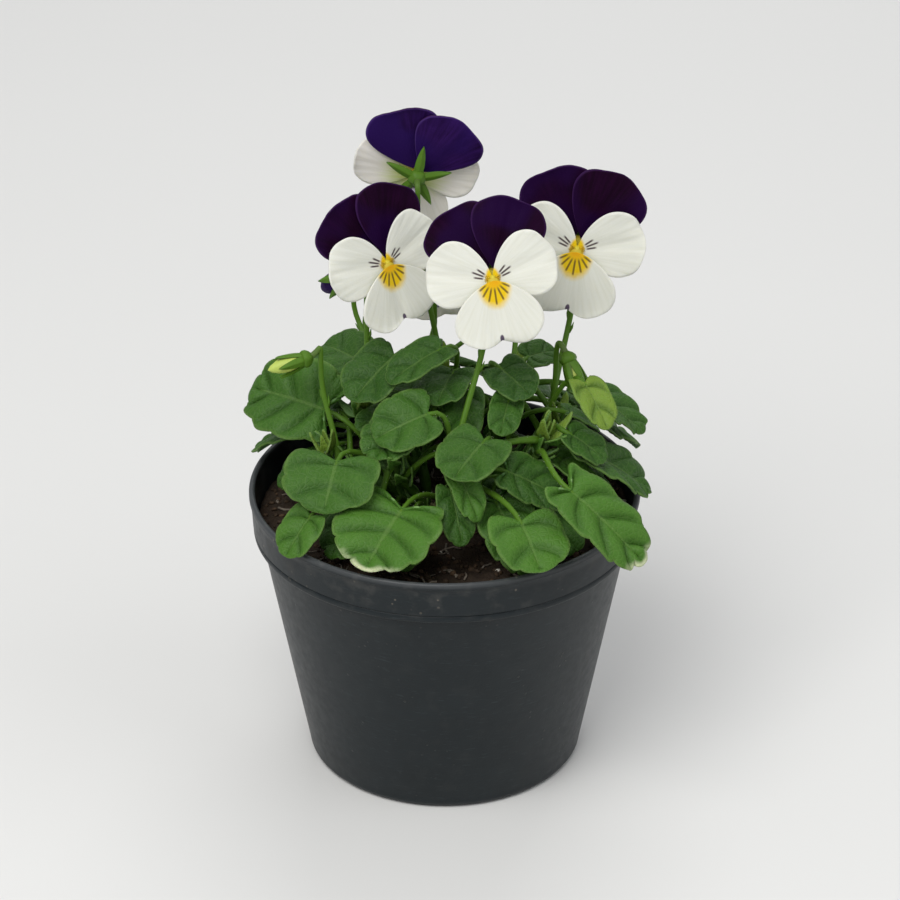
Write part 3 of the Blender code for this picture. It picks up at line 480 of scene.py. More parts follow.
def node_tree(name):
    """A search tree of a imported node's corners, each taken once."""
    corners = frame["nodes"][name].data.vertices
    places = {tuple(round(value / MM, 4) for value in corner.co) for corner in corners}
    tree = KDTree(len(places))
    for index, place in enumerate(sorted(places)):
        tree.insert(Vector(place) * MM, index)
    tree.balance()
    return tree


def is_built(tree, blade, length, width):
    """Whether a packed leafy stem has this blade: each corner tested lies midway between two of its own."""
    points = point_count(length)
    met = 0
    for tried, share in enumerate(TESTED_CORNERS):
        corner = blade @ blade_corner(round(points * share), points, length, width)
        (one, _, _), (other, _, _) = tree.find_n(corner, 2)
        met += ((one + other) / 2 - corner).length < MEETS
        if met + 1 < tried:
            return False
    return met >= ENOUGH_MET


def leaf_shade(rank, blade):
    """How light a leaf is: the high ones are darker, and some of the front ones have a shade of their own."""
    if rank in BRIGHT_SITES:
        return BRIGHT_SHADE
    if rank in YOUNG_SITES:
        return YOUNG_SHADE
    height = (blade.translation.z - POT_HEIGHT) / DOME_HEIGHT
    return LOW_SHADE - SHADE_FALL * height + SHADE_SPREAD * math.sin(rank * GOLDEN_TURN)


def grown_leaves():
    """The model's own leaves, found again by its random draw."""
    draw = random.Random(SEED)
    trees = [node_tree(f"leafy_stem_{number + 1}") for number in range(len(STEMS))]
    paths = [stem_path(stem) for stem in STEMS]
    leaves = []
    for rank, wanted in enumerate(wanted_sites(draw)):
        if len(leaves) == MOST_LEAVES:
            break
        for attempt in range(TRIES):
            site, turn = loosened(wanted, attempt / TRIES, draw)
            blade = blade_frame(site) @ turn
            base, tip = blade.translation, blade.col[1].to_3d()
            nearest = sorted(range(len(paths)), key=lambda index: (paths[index][-1] - base).length)
            stem = draw.choice(nearest[:STEM_CHOICE])
            path = paths[stem]
            along = draw.uniform(1.5, len(path) - 1.2)
            attach = path[int(along)].lerp(path[int(along) + 1], along % 1)
            span = base - attach
            if not MIN_PETIOLE < span.length < MAX_PETIOLE or span.dot(tip) < 0:
                continue
            if is_built(trees[stem], blade, site.length, site.width):
                shade, pale_tip = leaf_shade(rank, blade), rank in PALE_TIPS
                leaves.append(Leaf(stem, blade, site.length, site.width, attach, shade, pale_tip))
                break
    return leaves


# Meshes


def new_item(name, mesh):
    """A new object of a mesh, in the scene."""
    item = bpy.data.objects.new(name, mesh)
    bpy.context.scene.collection.objects.link(item)
    return item


def dress(item, replaced):
    """A piece rides on the part's one body and stands for its nodes, which it hides."""
    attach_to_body(item, "root")
    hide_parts(*replaced)
    return item


def moved(matrix, points):
    """Points as an array, taken through a matrix."""
    turned = np.array(matrix)
    return points @ turned[:3, :3].T + turned[:3, 3]


def fan(count, rings):
    """Faces of a sheet that runs from a middle line out to a closed edge of count points."""
    half = count // 2

    def number(step, ring):
        step %= count
        return min(step, count - step) if ring == 0 else half + 1 + (ring - 1) * count + step

    return [(number(step, ring), number(step + 1, ring), number(step + 1, ring + 1), number(step, ring + 1))
            for ring in range(rings) for step in range(count)]


def fan_values(count, rings):
    """For each point of a fan: its turn round the edge and its share of the way out."""
    half = count // 2
    turns = [math.tau * step / count for step in range(half + 1)]
    turns += [math.tau * step / count for _ in range(rings) for step in range(count)]
    outs = [0] * (half + 1) + [ring / rings for ring in range(1, rings + 1) for _ in range(count)]
    return np.array(turns), np.array(outs)


def circle(radius, height, count, shift=0):
    """Points round the Z axis, turned on by a share of a step."""
    angles = [math.tau * (step + shift) / count for step in range(count)]
    return [(radius * math.cos(angle), radius * math.sin(angle), height) for angle in angles]


def sleeve(rows, sides):
    """Faces between rows of points that each run once round."""
    return [(row * sides + step, row * sides + (step + 1) % sides,
             (row + 1) * sides + (step + 1) % sides, (row + 1) * sides + step)
            for row in range(rows - 1) for step in range(sides)]


class Gather:
    """Points, faces and point values of one piece, gathered shape by shape."""

    def __init__(self):
        self.points, self.faces, self.slots, self.local, self.tint = [], [], [], [], []
        self.total = 0

    def add(self, points, faces, local=(0, 0, 0), tint=(0, 0, 0), slot=0):
        """Adds a shape: its points, its faces, its own coordinates in millimetres and its tint values."""
        self.points.append(np.asarray(points, float))
        self.faces += [tuple(corner + self.total for corner in face) for face in faces]
        self.slots += [slot] * len(faces)
        for layer, values in ((self.local, local), (self.tint, tint)):
            layer.append(np.broadcast_to(np.asarray(values, float), (len(points), 3)))
        self.total += len(points)

    def closed(self, points, rows, sides, tint, slot):
        """Adds a sleeve with both its ends, whose points know their share of the way along."""
        ends = [tuple(reversed(range(sides))), tuple(range((rows - 1) * sides, rows * sides))]
        shares = np.repeat(np.linspace(0, 1, rows), sides)[:, None]
        self.add(points, ends + sleeve(rows, sides), shares, tint, slot)

    def tube(self, points, radii, sides, ridges=0, depth=0.0, tint=(0, 0, 0), slot=0):
        """Adds a closed tube along points, its radii in millimetres spread evenly, with ridges if angular."""
        count = len(points)
        spread = np.interp(np.linspace(0, 1, count), np.linspace(0, 1, len(radii)), radii) * MM
        ways = [(points[min(index + 1, count - 1)] - points[max(index - 1, 0)]).normalized()
                for index in range(count)]
        side = ways[0].orthogonal().normalized()
        rings = []
        for point, way, radius in zip(points, ways, spread):
            side = (side - way * side.dot(way)).normalized()
            other = way.cross(side)
            for step in range(sides):
                angle = math.tau * step / sides
                reach = radius * (1 + depth * math.cos(ridges * angle))
                rings.append(point + side * math.cos(angle) * reach + other * math.sin(angle) * reach)
        self.closed(rings, count, sides, tint, slot)

    def hairs(self, points, ways, length, radius, slot):
        """Adds fine three-sided hairs, from points out along their ways."""
        for point, way in zip(points, ways):
            side = way.orthogonal().normalized() * radius
            other = way.cross(side).normalized() * radius * 0.87
            foot = [point + side, point - side / 2 + other, point - side / 2 - other]
            self.add(foot + [point + way * length], [(0, 1, 3), (1, 2, 3), (2, 0, 3), (2, 1, 0)], slot=slot)

    def piece(self, name, materials, replaced, slot, thickness=0):
        """The finished piece; a thickness makes shells of its sheets, with the next material below."""
        mesh = bpy.data.meshes.new(name)
        mesh.from_pydata(np.concatenate(self.points).tolist(), [], self.faces)
        for label, values in (("local", self.local), ("tint", self.tint)):
            layer = mesh.attributes.new(label, "FLOAT_VECTOR", "POINT")
            layer.data.foreach_set("vector", np.concatenate(values).ravel())
        mesh.polygons.foreach_set("material_index", self.slots)
        mesh.shade_smooth()
        item = new_item(name, mesh)
        for material in materials:
            mesh.materials.append(material)
        if thickness:
            shell = item.modifiers.new("thickness", "SOLIDIFY")
            shell.thickness, shell.offset, shell.material_offset = thickness, 0, 1
        return dress(item, replaced)


# Leaves


def blade_sheet(length, width, teeth, dice):
    """A fine blade in its own plane: points, and for each the vein it is at and its shares out and along."""
    turn, out = fan_values(LEAF_LOOP, LEAF_RINGS_FINE)
    tooth_at = teeth * turn / math.tau
    skew = tooth_at + TOOTH_SKEW * np.sin(math.tau * tooth_at) * np.sign(math.pi - turn)
    between = TOOTH_DEPTH * TOOTH_FINE * (1 - np.abs(np.cos(math.pi * skew)) ** TOOTH_ROUND)
    x_edge, y_edge = blade_edge(turn, length, width, between)
    y_spine = length * (SPINE_START + SPINE_SPAN * (0.5 - 0.5 * np.cos(turn)) ** 2)
    x, y = x_edge * out, y_spine + (y_edge - y_spine) * out

    vein_at = np.minimum(tooth_at, teeth - tooth_at) - VEIN_SLANT * out ** 2
    off_vein = np.abs(vein_at - np.round(vein_at))
    real_vein = (np.round(vein_at) >= 1) & (np.round(vein_at) < teeth / 2 - 0.5)
    groove = np.where(real_vein, np.exp(-((off_vein / VEIN_SPREAD) ** 2)), 0) * np.clip(out * 5, 0, 1)
    puff = np.sin(np.clip(off_vein * 2, 0, 1) * math.pi / 2) * np.sin(out * math.pi * 0.9)
    crease = np.sqrt(x * x + (0.8 * MM) ** 2) - 0.8 * MM
    wave = dice.uniform(0, math.tau)
    z = FOLD * crease - DROOP * y * y / length
    z += length * (QUILTING * puff - GROOVE * groove * (1 - 0.5 * out))
    z += length * EDGE_WAVE * out ** 3 * np.sin(5 * turn + wave)
    z += length * SLOW_WAVE * out ** 2 * np.sin(2 * turn - wave)
    return np.column_stack((x, y, z)), np.column_stack((vein_at, out, y / length))


def canopy_of(leaves):
    """A search tree of all blades, each one a fan of triangles round its middle."""
    points, faces = [], []
    for leaf in leaves:
        count = point_count(leaf.length)
        start = len(points)
        points.append(leaf.frame @ Vector((0, BLADE_MIDDLE * leaf.length, -0.2 * DROOP * leaf.length)))
        points += [leaf.frame @ blade_corner(step, count, leaf.length, leaf.width) for step in range(count)]
        faces += [(start, start + 1 + step, start + 1 + (step + 1) % count) for step in range(count)]
    return BVHTree.FromPolygons(points, faces)


def clear_length(canopy, place, direction, length):
    """A small blade's length, cut back where its tip would pierce a leaf."""
    reach = canopy.ray_cast(place, direction, LOOK_AHEAD * length)[3]
    return length if reach is None else max(min(length, KEPT_SHARE * reach), LEAST_BLADE)


def add_stipule(gather, place, along, out, length, tint):
    """A leafy stipule beside a petiole's root: a narrow blade with a few lobes."""
    turn, reach = fan_values(SMALL_LOOP, SMALL_RINGS)
    side = along.cross(out).normalized()
    lobes = 1 - LOBE_DEPTH * (0.5 - 0.5 * np.cos(LOBES * turn)) * np.sin(turn / 2) ** 2
    x = -STIPULE_HALF * length * np.sin(turn) * (1.1 + 0.5 * np.cos(turn)) * lobes * reach
    y = length * (0.5 - 0.5 * np.cos(turn)) * (0.4 + 0.6 * reach) + length * STIPULE_FOOT
    z = STIPULE_FOLD * (np.abs(x) - y * y / length)
    placed = Matrix.Translation(place) @ axes_of(side, along, side.cross(along))
    points = moved(placed, np.column_stack((x, y, z)))
    local = np.column_stack((np.full(len(x), 0.5), reach, y / length))
    gather.add(points, fan(SMALL_LOOP, SMALL_RINGS), local, tint)


def add_shoot_tip(gather, path, canopy, dice):
    """The young folded leaves at a stem's growing tip."""
    tip, along = path[-1], (path[-1] - path[-2]).normalized()
    spin = dice.uniform(0, math.tau)
    for index in range(SHOOT_LEAVES):
        around = square_to(along, spin + GOLDEN_TURN * index)
        direction = (along + around * (SHOOT_LEAN + SHOOT_OPENING * index)).normalized()
        length = clear_length(canopy, tip, direction, (SHOOT_LENGTH + SHOOT_GROWTH * index) * MM)
        add_stipule(gather, tip - along * 0.8 * MM, direction, around, length, (YOUNG_SHADE, 0.3, 0))


def make_leaves(number, leaves, canopy, materials, dice):
    """A leafy stem's blades, stipules and shoot tip, as thin shells."""
    gather = Gather()
    for leaf in leaves:
        points, local = blade_sheet(leaf.length, leaf.width, point_count(leaf.length) // 2, dice)
        tint = (leaf.shade + dice.uniform(-0.1, 0.1), dice.uniform(-1, 1), leaf.pale_tip)
        gather.add(moved(leaf.frame, points), fan(LEAF_LOOP, LEAF_RINGS_FINE), local, tint)
    path = stem_path(STEMS[number], 12)
    along = (path[-1] - path[3]).normalized()
    for leaf in leaves:
        out = leaf.frame.translation - leaf.attach
        out = (out - along * out.dot(along)).normalized()
        for side in (-1, 1):
            aside = Matrix.Rotation(side * STIPULE_TURN, 3, along) @ out
            direction = (along * 0.75 + aside * 0.65).normalized()
            place = leaf.attach + aside * 0.5 * MM
            length = clear_length(canopy, place, direction, dice.uniform(*STIPULE_LENGTHS) * MM)
            add_stipule(gather, place, direction, aside, length, (0.75, dice.uniform(-1, 1), 0))
    add_shoot_tip(gather, path, canopy, dice)
    gather.piece(f"leaves_{number + 1}", materials, [f"leafy_stem_{number + 1}"], "foliage", LEAF_THICKNESS)


def make_stalks(number, leaves, materials, dice):
    """A leafy stem's stem, petioles, flower stalks, calyces and green buds, with their fine hairs."""
    gather = Gather()
    radii = (STEM_RADIUS / MM, STEM_TIP_RADIUS / MM)
    gather.tube(stem_path(STEMS[number], 16), radii, 16, 5, 0.08, (0.5, 0.25, 0))
    hair_points, hair_ways = [], []
    for leaf in leaves:
        run = petiole_path(leaf)
        gather.tube(run, PETIOLE_RADII, 10, 2, 0.08, (0.7 + 0.3 * leaf.shade, 0, 0))
        for _ in range(PETIOLE_HAIRS):
            share = dice.uniform(0.5, 8.5)
            before, after = run[int(share)], run[int(share) + 1]
            way = (after - before).normalized()
            out = square_to(way, dice.uniform(0, math.tau))
            hair_points.append(before.lerp(after, share % 1) + out * 0.5 * MM)
            hair_ways.append((out + way * 0.3).normalized())
    for head in BLOOMS + GREEN_BUDS + DARK_BUDS:
        if head.stem == number:
            add_flower_stalk(gather, head, dice)
    gather.hairs(hair_points, hair_ways, HAIR_LENGTH, HAIR_RADIUS, 1)
    gather.piece(f"stalks_{number + 1}", materials, [f"leafy_stem_{number + 1}"], "foliage")


def add_flower_stalk(gather, head, dice):
    """A long hooked stalk with its two scales and its calyx, and a green bud's own petals."""
    depth = BLOOM_DEPTH if head in BLOOMS else 0
    run = stalk_path(head, depth)
    gather.tube(run, STALK_RADII, 14, 4, 0.07, (1.0, 0.6, 0))
    for side, index in SCALE_PLACES:
        way = (run[index + 1] - run[index]).normalized()
        out = square_to(way, side * SCALE_TURN)
        scale = [run[index] + (out * aside + way * ahead) * MM for aside, ahead in SCALE]
        gather.tube(scale, SCALE_RADII, 6, tint=(0.9, 0, 0))
    socket = head_frame(head, depth)
    gather.tube([socket @ Vector((0, 0, z * MM)) for z in CUP_DEPTHS], CUP_RADII, 18, 5, 0.08, (0.95, 0, 0))
    for index in range(SEPAL_COUNT):
        add_sepal(gather, socket, index, head, dice)
    if head in GREEN_BUDS:
        add_bud(gather, socket @ Matrix.Translation((0, 0, -RECEPTACLE_DEPTH / 2)), head.size, (0, 0, 0), 2)


def add_sepal(gather, socket, index, head, dice):
    """One pointed sepal with its short ear behind the receptacle: open behind a bloom, closed round a bud."""
    turn, out = fan_values(SMALL_LOOP, SMALL_RINGS)
    rise = 0.5 - 0.5 * np.cos(turn)
    half = SEPAL_WIDTH / 2 * 2.26 * rise ** 0.45 * (1 - rise) ** 0.8
    y_spine = SEPAL_LENGTH * (rise * 0.95 - 0.05)
    y_edge = SEPAL_LENGTH * (rise * 1.16 - 0.16)
    x, y = -np.sign(math.pi - turn + 1e-9) * half * out, y_spine + (y_edge - y_spine) * out
    cup = 0 if head in BLOOMS else BUD_SEPAL_CUP
    lift = cup * (y / SEPAL_LENGTH) ** 2 - EAR_DROP * np.clip(-y / MM, 0, 1)
    body = SEPAL_BODY * (1 - out ** 2) + SEPAL_EDGE
    keel = SEPAL_KEEL * np.exp(-((x / KEEL_WIDTH) ** 2))
    spread = SEPAL_SPREAD if head in BLOOMS else DARK_BUD_SPREAD if head in DARK_BUDS else GREEN_BUD_SPREAD
    around = Matrix.Rotation(math.tau * index / SEPAL_COUNT, 4, "Z")
    root = Matrix.Translation((0, RECEPTACLE_RADIUS / 2, -RECEPTACLE_DEPTH / 2))
    placed = socket @ around @ root @ Matrix.Rotation(math.radians(90 - spread), 4, "X")
    faces = fan(SMALL_LOOP, SMALL_RINGS)
    local = np.column_stack((x / MM, y / MM, out))
    tint = (1.0, dice.uniform(-0.4, 0.4), 0)
    gather.add(moved(placed, np.column_stack((x, y, lift + body))), faces, local, tint)
    below = moved(placed, np.column_stack((x, y, lift - body - keel)))
    gather.add(below, [tuple(reversed(face)) for face in faces], local, tint)


def add_bud(gather, placed, size, tint, slot):
    """A bud's rolled petals: a teardrop with overlapping folds that wind up to its tip."""
    points = []
    for row in range(BUD_ROWS):
        share = 0.02 + 0.98 * (0.5 - 0.5 * math.cos(math.pi * row / (BUD_ROWS - 1)))
        wide = float(np.interp(share, BUD_HEIGHTS, BUD_WIDTHS))
        for step in range(BUD_SIDES):
            angle = math.tau * step / BUD_SIDES
            wound = (BUD_FOLDS * angle / math.tau + BUD_TWIST * share) % 1 - 0.5
            fold = 1 + BUD_FOLD * wound * math.sin(math.pi * share)
            radius = max(wide * BUD_RADIUS * size * fold, 0.01 * MM)
            points.append((radius * math.cos(angle), radius * math.sin(angle), share * size))
    gather.closed(moved(placed, np.array(points)), BUD_ROWS, BUD_SIDES, tint, slot)


# Petals


def petal_sheet(petal, kind, dice):
    """A fine petal along +Y: its points, its own coordinates in millimetres and its shares of the way out."""
    turn, out = fan_values(PETAL_LOOP, PETAL_RINGS)
    rise = 0.5 - 0.5 * np.cos(turn)
    x_edge = -petal.width / 2 * np.sin(turn) * np.sin(turn / 2) ** petal.claw
    x_edge *= 1 + (CLAW_WIDTH - 1) * petal.claw
    notch = petal.notch * np.exp(-((np.abs(turn - math.pi) / 0.3) ** 1.3))
    ripple = 1 + RIPPLE * np.sin(7 * turn + dice.uniform(0, 6)) * rise
    y_edge = petal.start + petal.length * rise * ripple - notch
    y_spine = petal.start + petal.length * (0.03 + 0.72 * rise)
    x, y = x_edge * out, y_spine + (y_edge - y_spine) * out
    share = (y - petal.start) / petal.length
    wave = dice.uniform(0, math.tau)
    z = petal.depth + petal.curl * share ** 2
    z += RUFFLE * out ** 4 * rise * np.sin(4 * turn + wave)
    z += ROLL * out ** 2 * rise * np.sin(2 * turn + wave)
    z -= KEEL * np.exp(-((x / (1.6 * MM)) ** 2)) * np.sin(math.pi * np.clip(share, 0, 1))
    z += CREASE * np.sin(46 * np.arctan2(x, y - petal.start + 3 * MM)) * np.clip(share * 2, 0, 1)
    local = np.column_stack((x / MM, (y - petal.start) / MM, np.full(len(x), kind)))
    return np.column_stack((x, y, z)), local, out


def add_petal(gather, petal, kind, head, dice):
    """One petal of a bloom; its tint holds the bloom's own coordinates, for the markings round the eye."""
    points, local, out = petal_sheet(petal, kind, dice)
    face = moved(Matrix.Rotation(math.radians(-petal.turn), 4, "Z"), points)
    tint = np.column_stack((face[:, 0] / MM, face[:, 1] / MM, out))
    placed = bloom_frame(head) @ Matrix.Scale(head.size, 4)
    gather.add(moved(placed, face), fan(PETAL_LOOP, PETAL_RINGS), local, tint)


def make_throat(head, materials, dice):
    """A bloom's spur, claw and stigma, and the beards on both sides of its eye."""
    throat, placed = Gather(), bloom_frame(head)
    paths = [[placed @ Vector((0, y * MM, z * MM)) for y, z in path] for path in (SPUR, CLAW, STIGMA)]
    spur, claw, stigma = paths
    run = interpolate_bezier(spur[0], spur[0].lerp(spur[1], 0.6), spur[1].lerp(spur[2], 0.4), spur[2], 12)
    throat.tube(run, SPUR_RADII, 16, slot=0)
    throat.tube(claw, CLAW_RADII, 18, slot=1)
    throat.tube(stigma, STIGMA_RADII, 14, slot=2)
    roots, ways = [], []
    for side in (-1, 1):
        for _ in range(BEARD_HAIRS):
            x, y = side * dice.uniform(*BEARD_ACROSS), dice.uniform(*BEARD_UP)
            roots.append(placed @ Vector((x * MM, y * MM, 0.1 * MM)))
            way = Vector((-side * dice.uniform(0.2, 0.8), dice.uniform(-0.5, 0.2), 1))
            ways.append((placed.to_3x3() @ way).normalized())
    throat.hairs(roots, ways, BEARD_LENGTH, BEARD_RADIUS, 3)
    finish = [materials[label] for label in ("spur", "throat", "stigma", "beard")]
    throat.piece(f"{head.name}_throat", finish, [f"{head.name}_lower_petals"], "petal_white")


def make_bloom(head, materials, dice):
    """A bloom: its dark upper petals, its white lower ones and its throat."""
    for level, petals, kinds, colour in (("upper", UPPER_PETALS, (UPPER, UPPER), "violet"),
                                         ("lower", LOWER_PETALS, (SIDE, SIDE, LIP), "white")):
        gather = Gather()
        for petal, kind in zip(petals, kinds):
            add_petal(gather, petal, kind, head, dice)
        gather.piece(f"{head.name}_{level}", [materials[colour], materials[f"{colour}_back"]],
                     [f"{head.name}_{level}_petals"], f"petal_{colour}", PETAL_THICKNESS)
    make_throat(head, materials, dice)


def make_dark_bud(head, material):
    """The rolled petals of a bud that already shows its colour."""
    gather = Gather()
    add_bud(gather, head_frame(head, 0) @ Matrix.Translation((0, 0, GAP)), head.size, (0, 0, 0.5), 0)
    gather.piece(f"{head.name}_rolled", [material], [f"{head.name}_petals"], "petal_violet")


# Pot, compost and crown


def inner_radius(height):
    """The pot body's inner radius at a height, below the ledge."""
    share = (height - BASE_CORNER) / (LEDGE_Z - BASE_CORNER)
    return BASE_RADIUS - WALL + (BODY_TOP_RADIUS - BASE_RADIUS) * share


def arc(radius, height, size, first, last, count):
    """Points of a round corner, by the radius and height of its centre and the angles where it runs."""
    angles = [math.radians(first + (last - first) * step / count) for step in range(count + 1)]
    return [(radius + size * math.cos(angle), height + size * math.sin(angle)) for angle in angles]


def pot_profile():
    """The pot's section, from the middle of its floor up its inside, over the lip and down its outside."""
    lip_round, bead, fold, corner, hem = 0.7 * MM, 0.3 * MM, 0.6 * MM, 0.5 * MM, 0.4 * MM
    ledge_top, lip_foot = LEDGE_Z + WALL, POT_HEIGHT - LIP_HEIGHT
    floor_radius = inner_radius(FLOOR) - BASE_CORNER
    inside = [(0, FLOOR), (floor_radius, FLOOR)]
    inside += arc(floor_radius, FLOOR + BASE_CORNER, BASE_CORNER, -90, 0, 6)
    inside += [(inner_radius(z * MM), z * MM) for z in range(8, 54, 6)]
    inside += [(BODY_TOP_RADIUS - WALL, ledge_top - fold), (BODY_TOP_RADIUS - WALL + bead, ledge_top)]
    inside += arc(BAND_FOOT_RADIUS - WALL - fold, ledge_top + fold, fold, -90, 0, 5)
    lip = arc(RIM_RADIUS - lip_round, POT_HEIGHT - lip_round, lip_round, 180, 0, 12)
    lip += [(RIM_RADIUS, lip_foot + corner)]
    lip += arc(RIM_RADIUS - bead, lip_foot + bead, bead, 0, -90, 4)
    band = [(BAND_TOP_RADIUS - 0.02 * MM, lip_foot - 0.1 * MM)]
    band += [(BAND_TOP_RADIUS - BAND_TAPER * share, lip_foot + (LEDGE_Z - lip_foot) * share)
             for share in (0.2, 0.4, 0.6, 0.78)]
    groove_z, groove_half, groove_edge, groove_depth = LEDGE_Z + 1.7 * MM, 0.28 * MM, 0.06 * MM, 0.22 * MM
    band += [(BAND_FOOT_RADIUS + out, groove_z + up) for out, up in
             ((groove_edge, groove_half), (-groove_depth, 0), (groove_edge, -groove_half))]
    band += arc(BAND_FOOT_RADIUS - corner, LEDGE_Z + corner, corner, 0, -90, 5)
    body = arc(BODY_TOP_RADIUS + hem, LEDGE_Z - hem, hem, 90, 180, 4)
    body += [(inner_radius(z * MM) + WALL, z * MM) for z in (54, 48, 42, 36, 30, 24, 18, 12, 7, 3)]
    body += arc(BASE_RADIUS - BASE_CORNER, BASE_CORNER, BASE_CORNER, 0, -90, 8)
    body += [(BASE_RADIUS * 0.82, 0), (BASE_RADIUS * 0.55, 0), (0, 0)]
    return inside + lip + band + body


def lathe(name, profile, segments):
    """A turned object from a profile of radius and height, closed where it meets the axis."""
    mesh = bmesh.new()
    rings = []
    for radius, height in profile:
        rings.append([mesh.verts.new(point) for point in circle(radius, height, segments if radius else 1)])
    for lower, upper in zip(rings, rings[1:]):
        for step in range(segments):
            corners = [lower[step % len(lower)], lower[(step + 1) % len(lower)],
                       upper[(step + 1) % len(upper)], upper[step % len(upper)]]
            mesh.faces.new(list(dict.fromkeys(corners)))
    bmesh.ops.recalc_face_normals(mesh, faces=mesh.faces)
    return new_item(name, as_mesh(name, mesh))


def as_mesh(name, shape):
    """A bmesh as a mesh of its own."""
    mesh = bpy.data.meshes.new(name)
    shape.to_mesh(mesh)
    shape.free()
    return mesh


def make_pot(material):
    """The pot, turned fine, with its drainage holes cut through the floor."""
    pot = lathe("nursery_pot", pot_profile(), POT_SEGMENTS)
    cutters = bmesh.new()
    for index in range(DRAIN_COUNT):
        place = outward((index + 0.5) * 360 / DRAIN_COUNT) * DRAIN_RING + UP * FLOOR / 2
        bmesh.ops.create_cone(cutters, cap_ends=True, segments=32, radius1=DRAIN_RADIUS, radius2=DRAIN_RADIUS,
                              depth=3 * FLOOR, matrix=Matrix.Translation(place))
    drains = new_item("drains", as_mesh("drains", cutters))
    cut = pot.modifiers.new("drains", "BOOLEAN")
    cut.operation = "DIFFERENCE"
    cut.object = drains
    bpy.context.view_layer.update()
    pot.data = bpy.data.meshes.new_from_object(pot.evaluated_get(bpy.context.evaluated_depsgraph_get()))
    pot.modifiers.clear()
    bpy.data.objects.remove(drains)
    pot.data.shade_smooth()
    pot.data.set_sharp_from_angle(angle=math.radians(50))
    pot.data.materials.clear()
    pot.data.materials.append(material)
    dress(pot, ["pot"])


def soil_height(x, y):
    """The compost's surface: a low mound with lumps and crumbs."""
    mound = SOIL_RISE * (1 - (math.hypot(x, y) / (BAND_FOOT_RADIUS - WALL)) ** 2)
    lumps = noise.fractal(Vector((x, y, 0)) / LUMP_SPACING, 1.0, 2.2, 3) * LUMP_HEIGHT
    crumbs = abs(noise.noise(Vector((x, y, 5 * MM)) / CRUMB_SPACING)) * CRUMB_HEIGHT
    return SOIL_TOP + mound + lumps + crumbs


def add_soil_body(gather, edge):
    """The compost's crumbly top and its plain sides and bottom inside the pot."""
    points = [(0, 0, soil_height(0, 0))]
    for ring in range(1, SOIL_RINGS + 1):
        round_it = circle(edge * ring / SOIL_RINGS, 0, SOIL_SEGMENTS, 0.5 * (ring % 2))
        points += [(x, y, soil_height(x, y)) for x, y, _ in round_it]
    ledge_top, foot, half_way = LEDGE_Z + WALL + GAP, FLOOR + BASE_CORNER, 30 * MM
    sides = ((edge, ledge_top), (BODY_TOP_RADIUS - WALL - GAP, ledge_top),
             (inner_radius(half_way) - GAP, half_way), (inner_radius(foot) - GAP, foot),
             (inner_radius(FLOOR) - BASE_CORNER, FLOOR + GAP))
    for radius, height in sides:
        points += circle(radius, height, SOIL_SEGMENTS)
    points.append((0, 0, FLOOR + GAP))
    rows = SOIL_RINGS + len(sides)
    faces = [(0, 1 + step, 1 + (step + 1) % SOIL_SEGMENTS) for step in range(SOIL_SEGMENTS)]
    faces += [(a + 1, d + 1, c + 1, b + 1) for a, b, c, d in sleeve(rows, SOIL_SEGMENTS)]
    last = 1 + (rows - 1) * SOIL_SEGMENTS
    faces += [(last + (step + 1) % SOIL_SEGMENTS, last + step, len(points) - 1)
              for step in range(SOIL_SEGMENTS)]
    gather.add(points, faces)


def soil_spot(edge, nearest, furthest, dice):
    """A place on the compost, drawn evenly over a part of its surface."""
    radius, angle = edge * math.sqrt(dice.uniform(nearest, furthest)), dice.uniform(0, math.tau)
    return radius * math.cos(angle), radius * math.sin(angle)


def add_crumbs(gather, edge, dice):
    """Loose crumbs, a few of them large and a few pale."""
    ball = bmesh.new()
    bmesh.ops.create_icosphere(ball, subdivisions=1, radius=1)
    rock = [vertex.co.copy() for vertex in ball.verts]
    faces = [tuple(vertex.index for vertex in face.verts) for face in ball.faces]
    ball.free()
    for index in range(CRUMBS):
        x, y = soil_spot(edge, 0, 0.97, dice)
        size = dice.uniform(*CRUMB_SIZES) * MM * (LARGE_CRUMB if index % LARGE_EVERY == 0 else 1)
        turned = Matrix.Rotation(dice.uniform(0, 6), 3, "X") @ Matrix.Rotation(dice.uniform(0, 6), 3, "Z")
        stretch = Vector((size, size * dice.uniform(0.6, 1), size * dice.uniform(0.45, 0.9)))
        centre = Vector((x, y, soil_height(x, y) + size * 0.25))
        crumb = [centre + turned @ (corner * stretch) * dice.uniform(0.8, 1.2) for corner in rock]
        is_pale = index % PALE_EVERY == 0
        gather.add(crumb, faces, tint=(dice.uniform(0.2, 1), dice.uniform(0, 1), is_pale))


def add_fibres(gather, edge, dice):
    """Fine roots and fibres that lie on the compost."""
    for _ in range(FIBRES):
        x, y = soil_spot(edge, 0.05, 0.92, dice)
        way, length = dice.uniform(0, math.tau), dice.uniform(*FIBRE_LENGTHS) * MM
        run = []
        for share in (0, 0.33, 0.66, 1):
            across = x + math.cos(way + share * FIBRE_BEND) * length * share
            along = y + math.sin(way + share * FIBRE_BEND) * length * share
            if math.hypot(across, along) > edge - 0.5 * MM:
                break
            run.append(Vector((across, along, soil_height(across, along) + FIBRE_LIFT)))
        if len(run) > 2:
            gather.tube(run, [dice.uniform(*FIBRE_RADII)], 5, tint=(1, dice.uniform(0, 1), 0.35))


def make_compost(material, dice):
    """The compost, with loose crumbs and fibres on it."""
    gather = Gather()
    edge = BAND_FOOT_RADIUS - WALL - GAP
    add_soil_body(gather, edge)
    add_crumbs(gather, edge, dice)
    add_fibres(gather, edge, dice)
    gather.piece("compost_surface", [material], ["compost"], "compost")


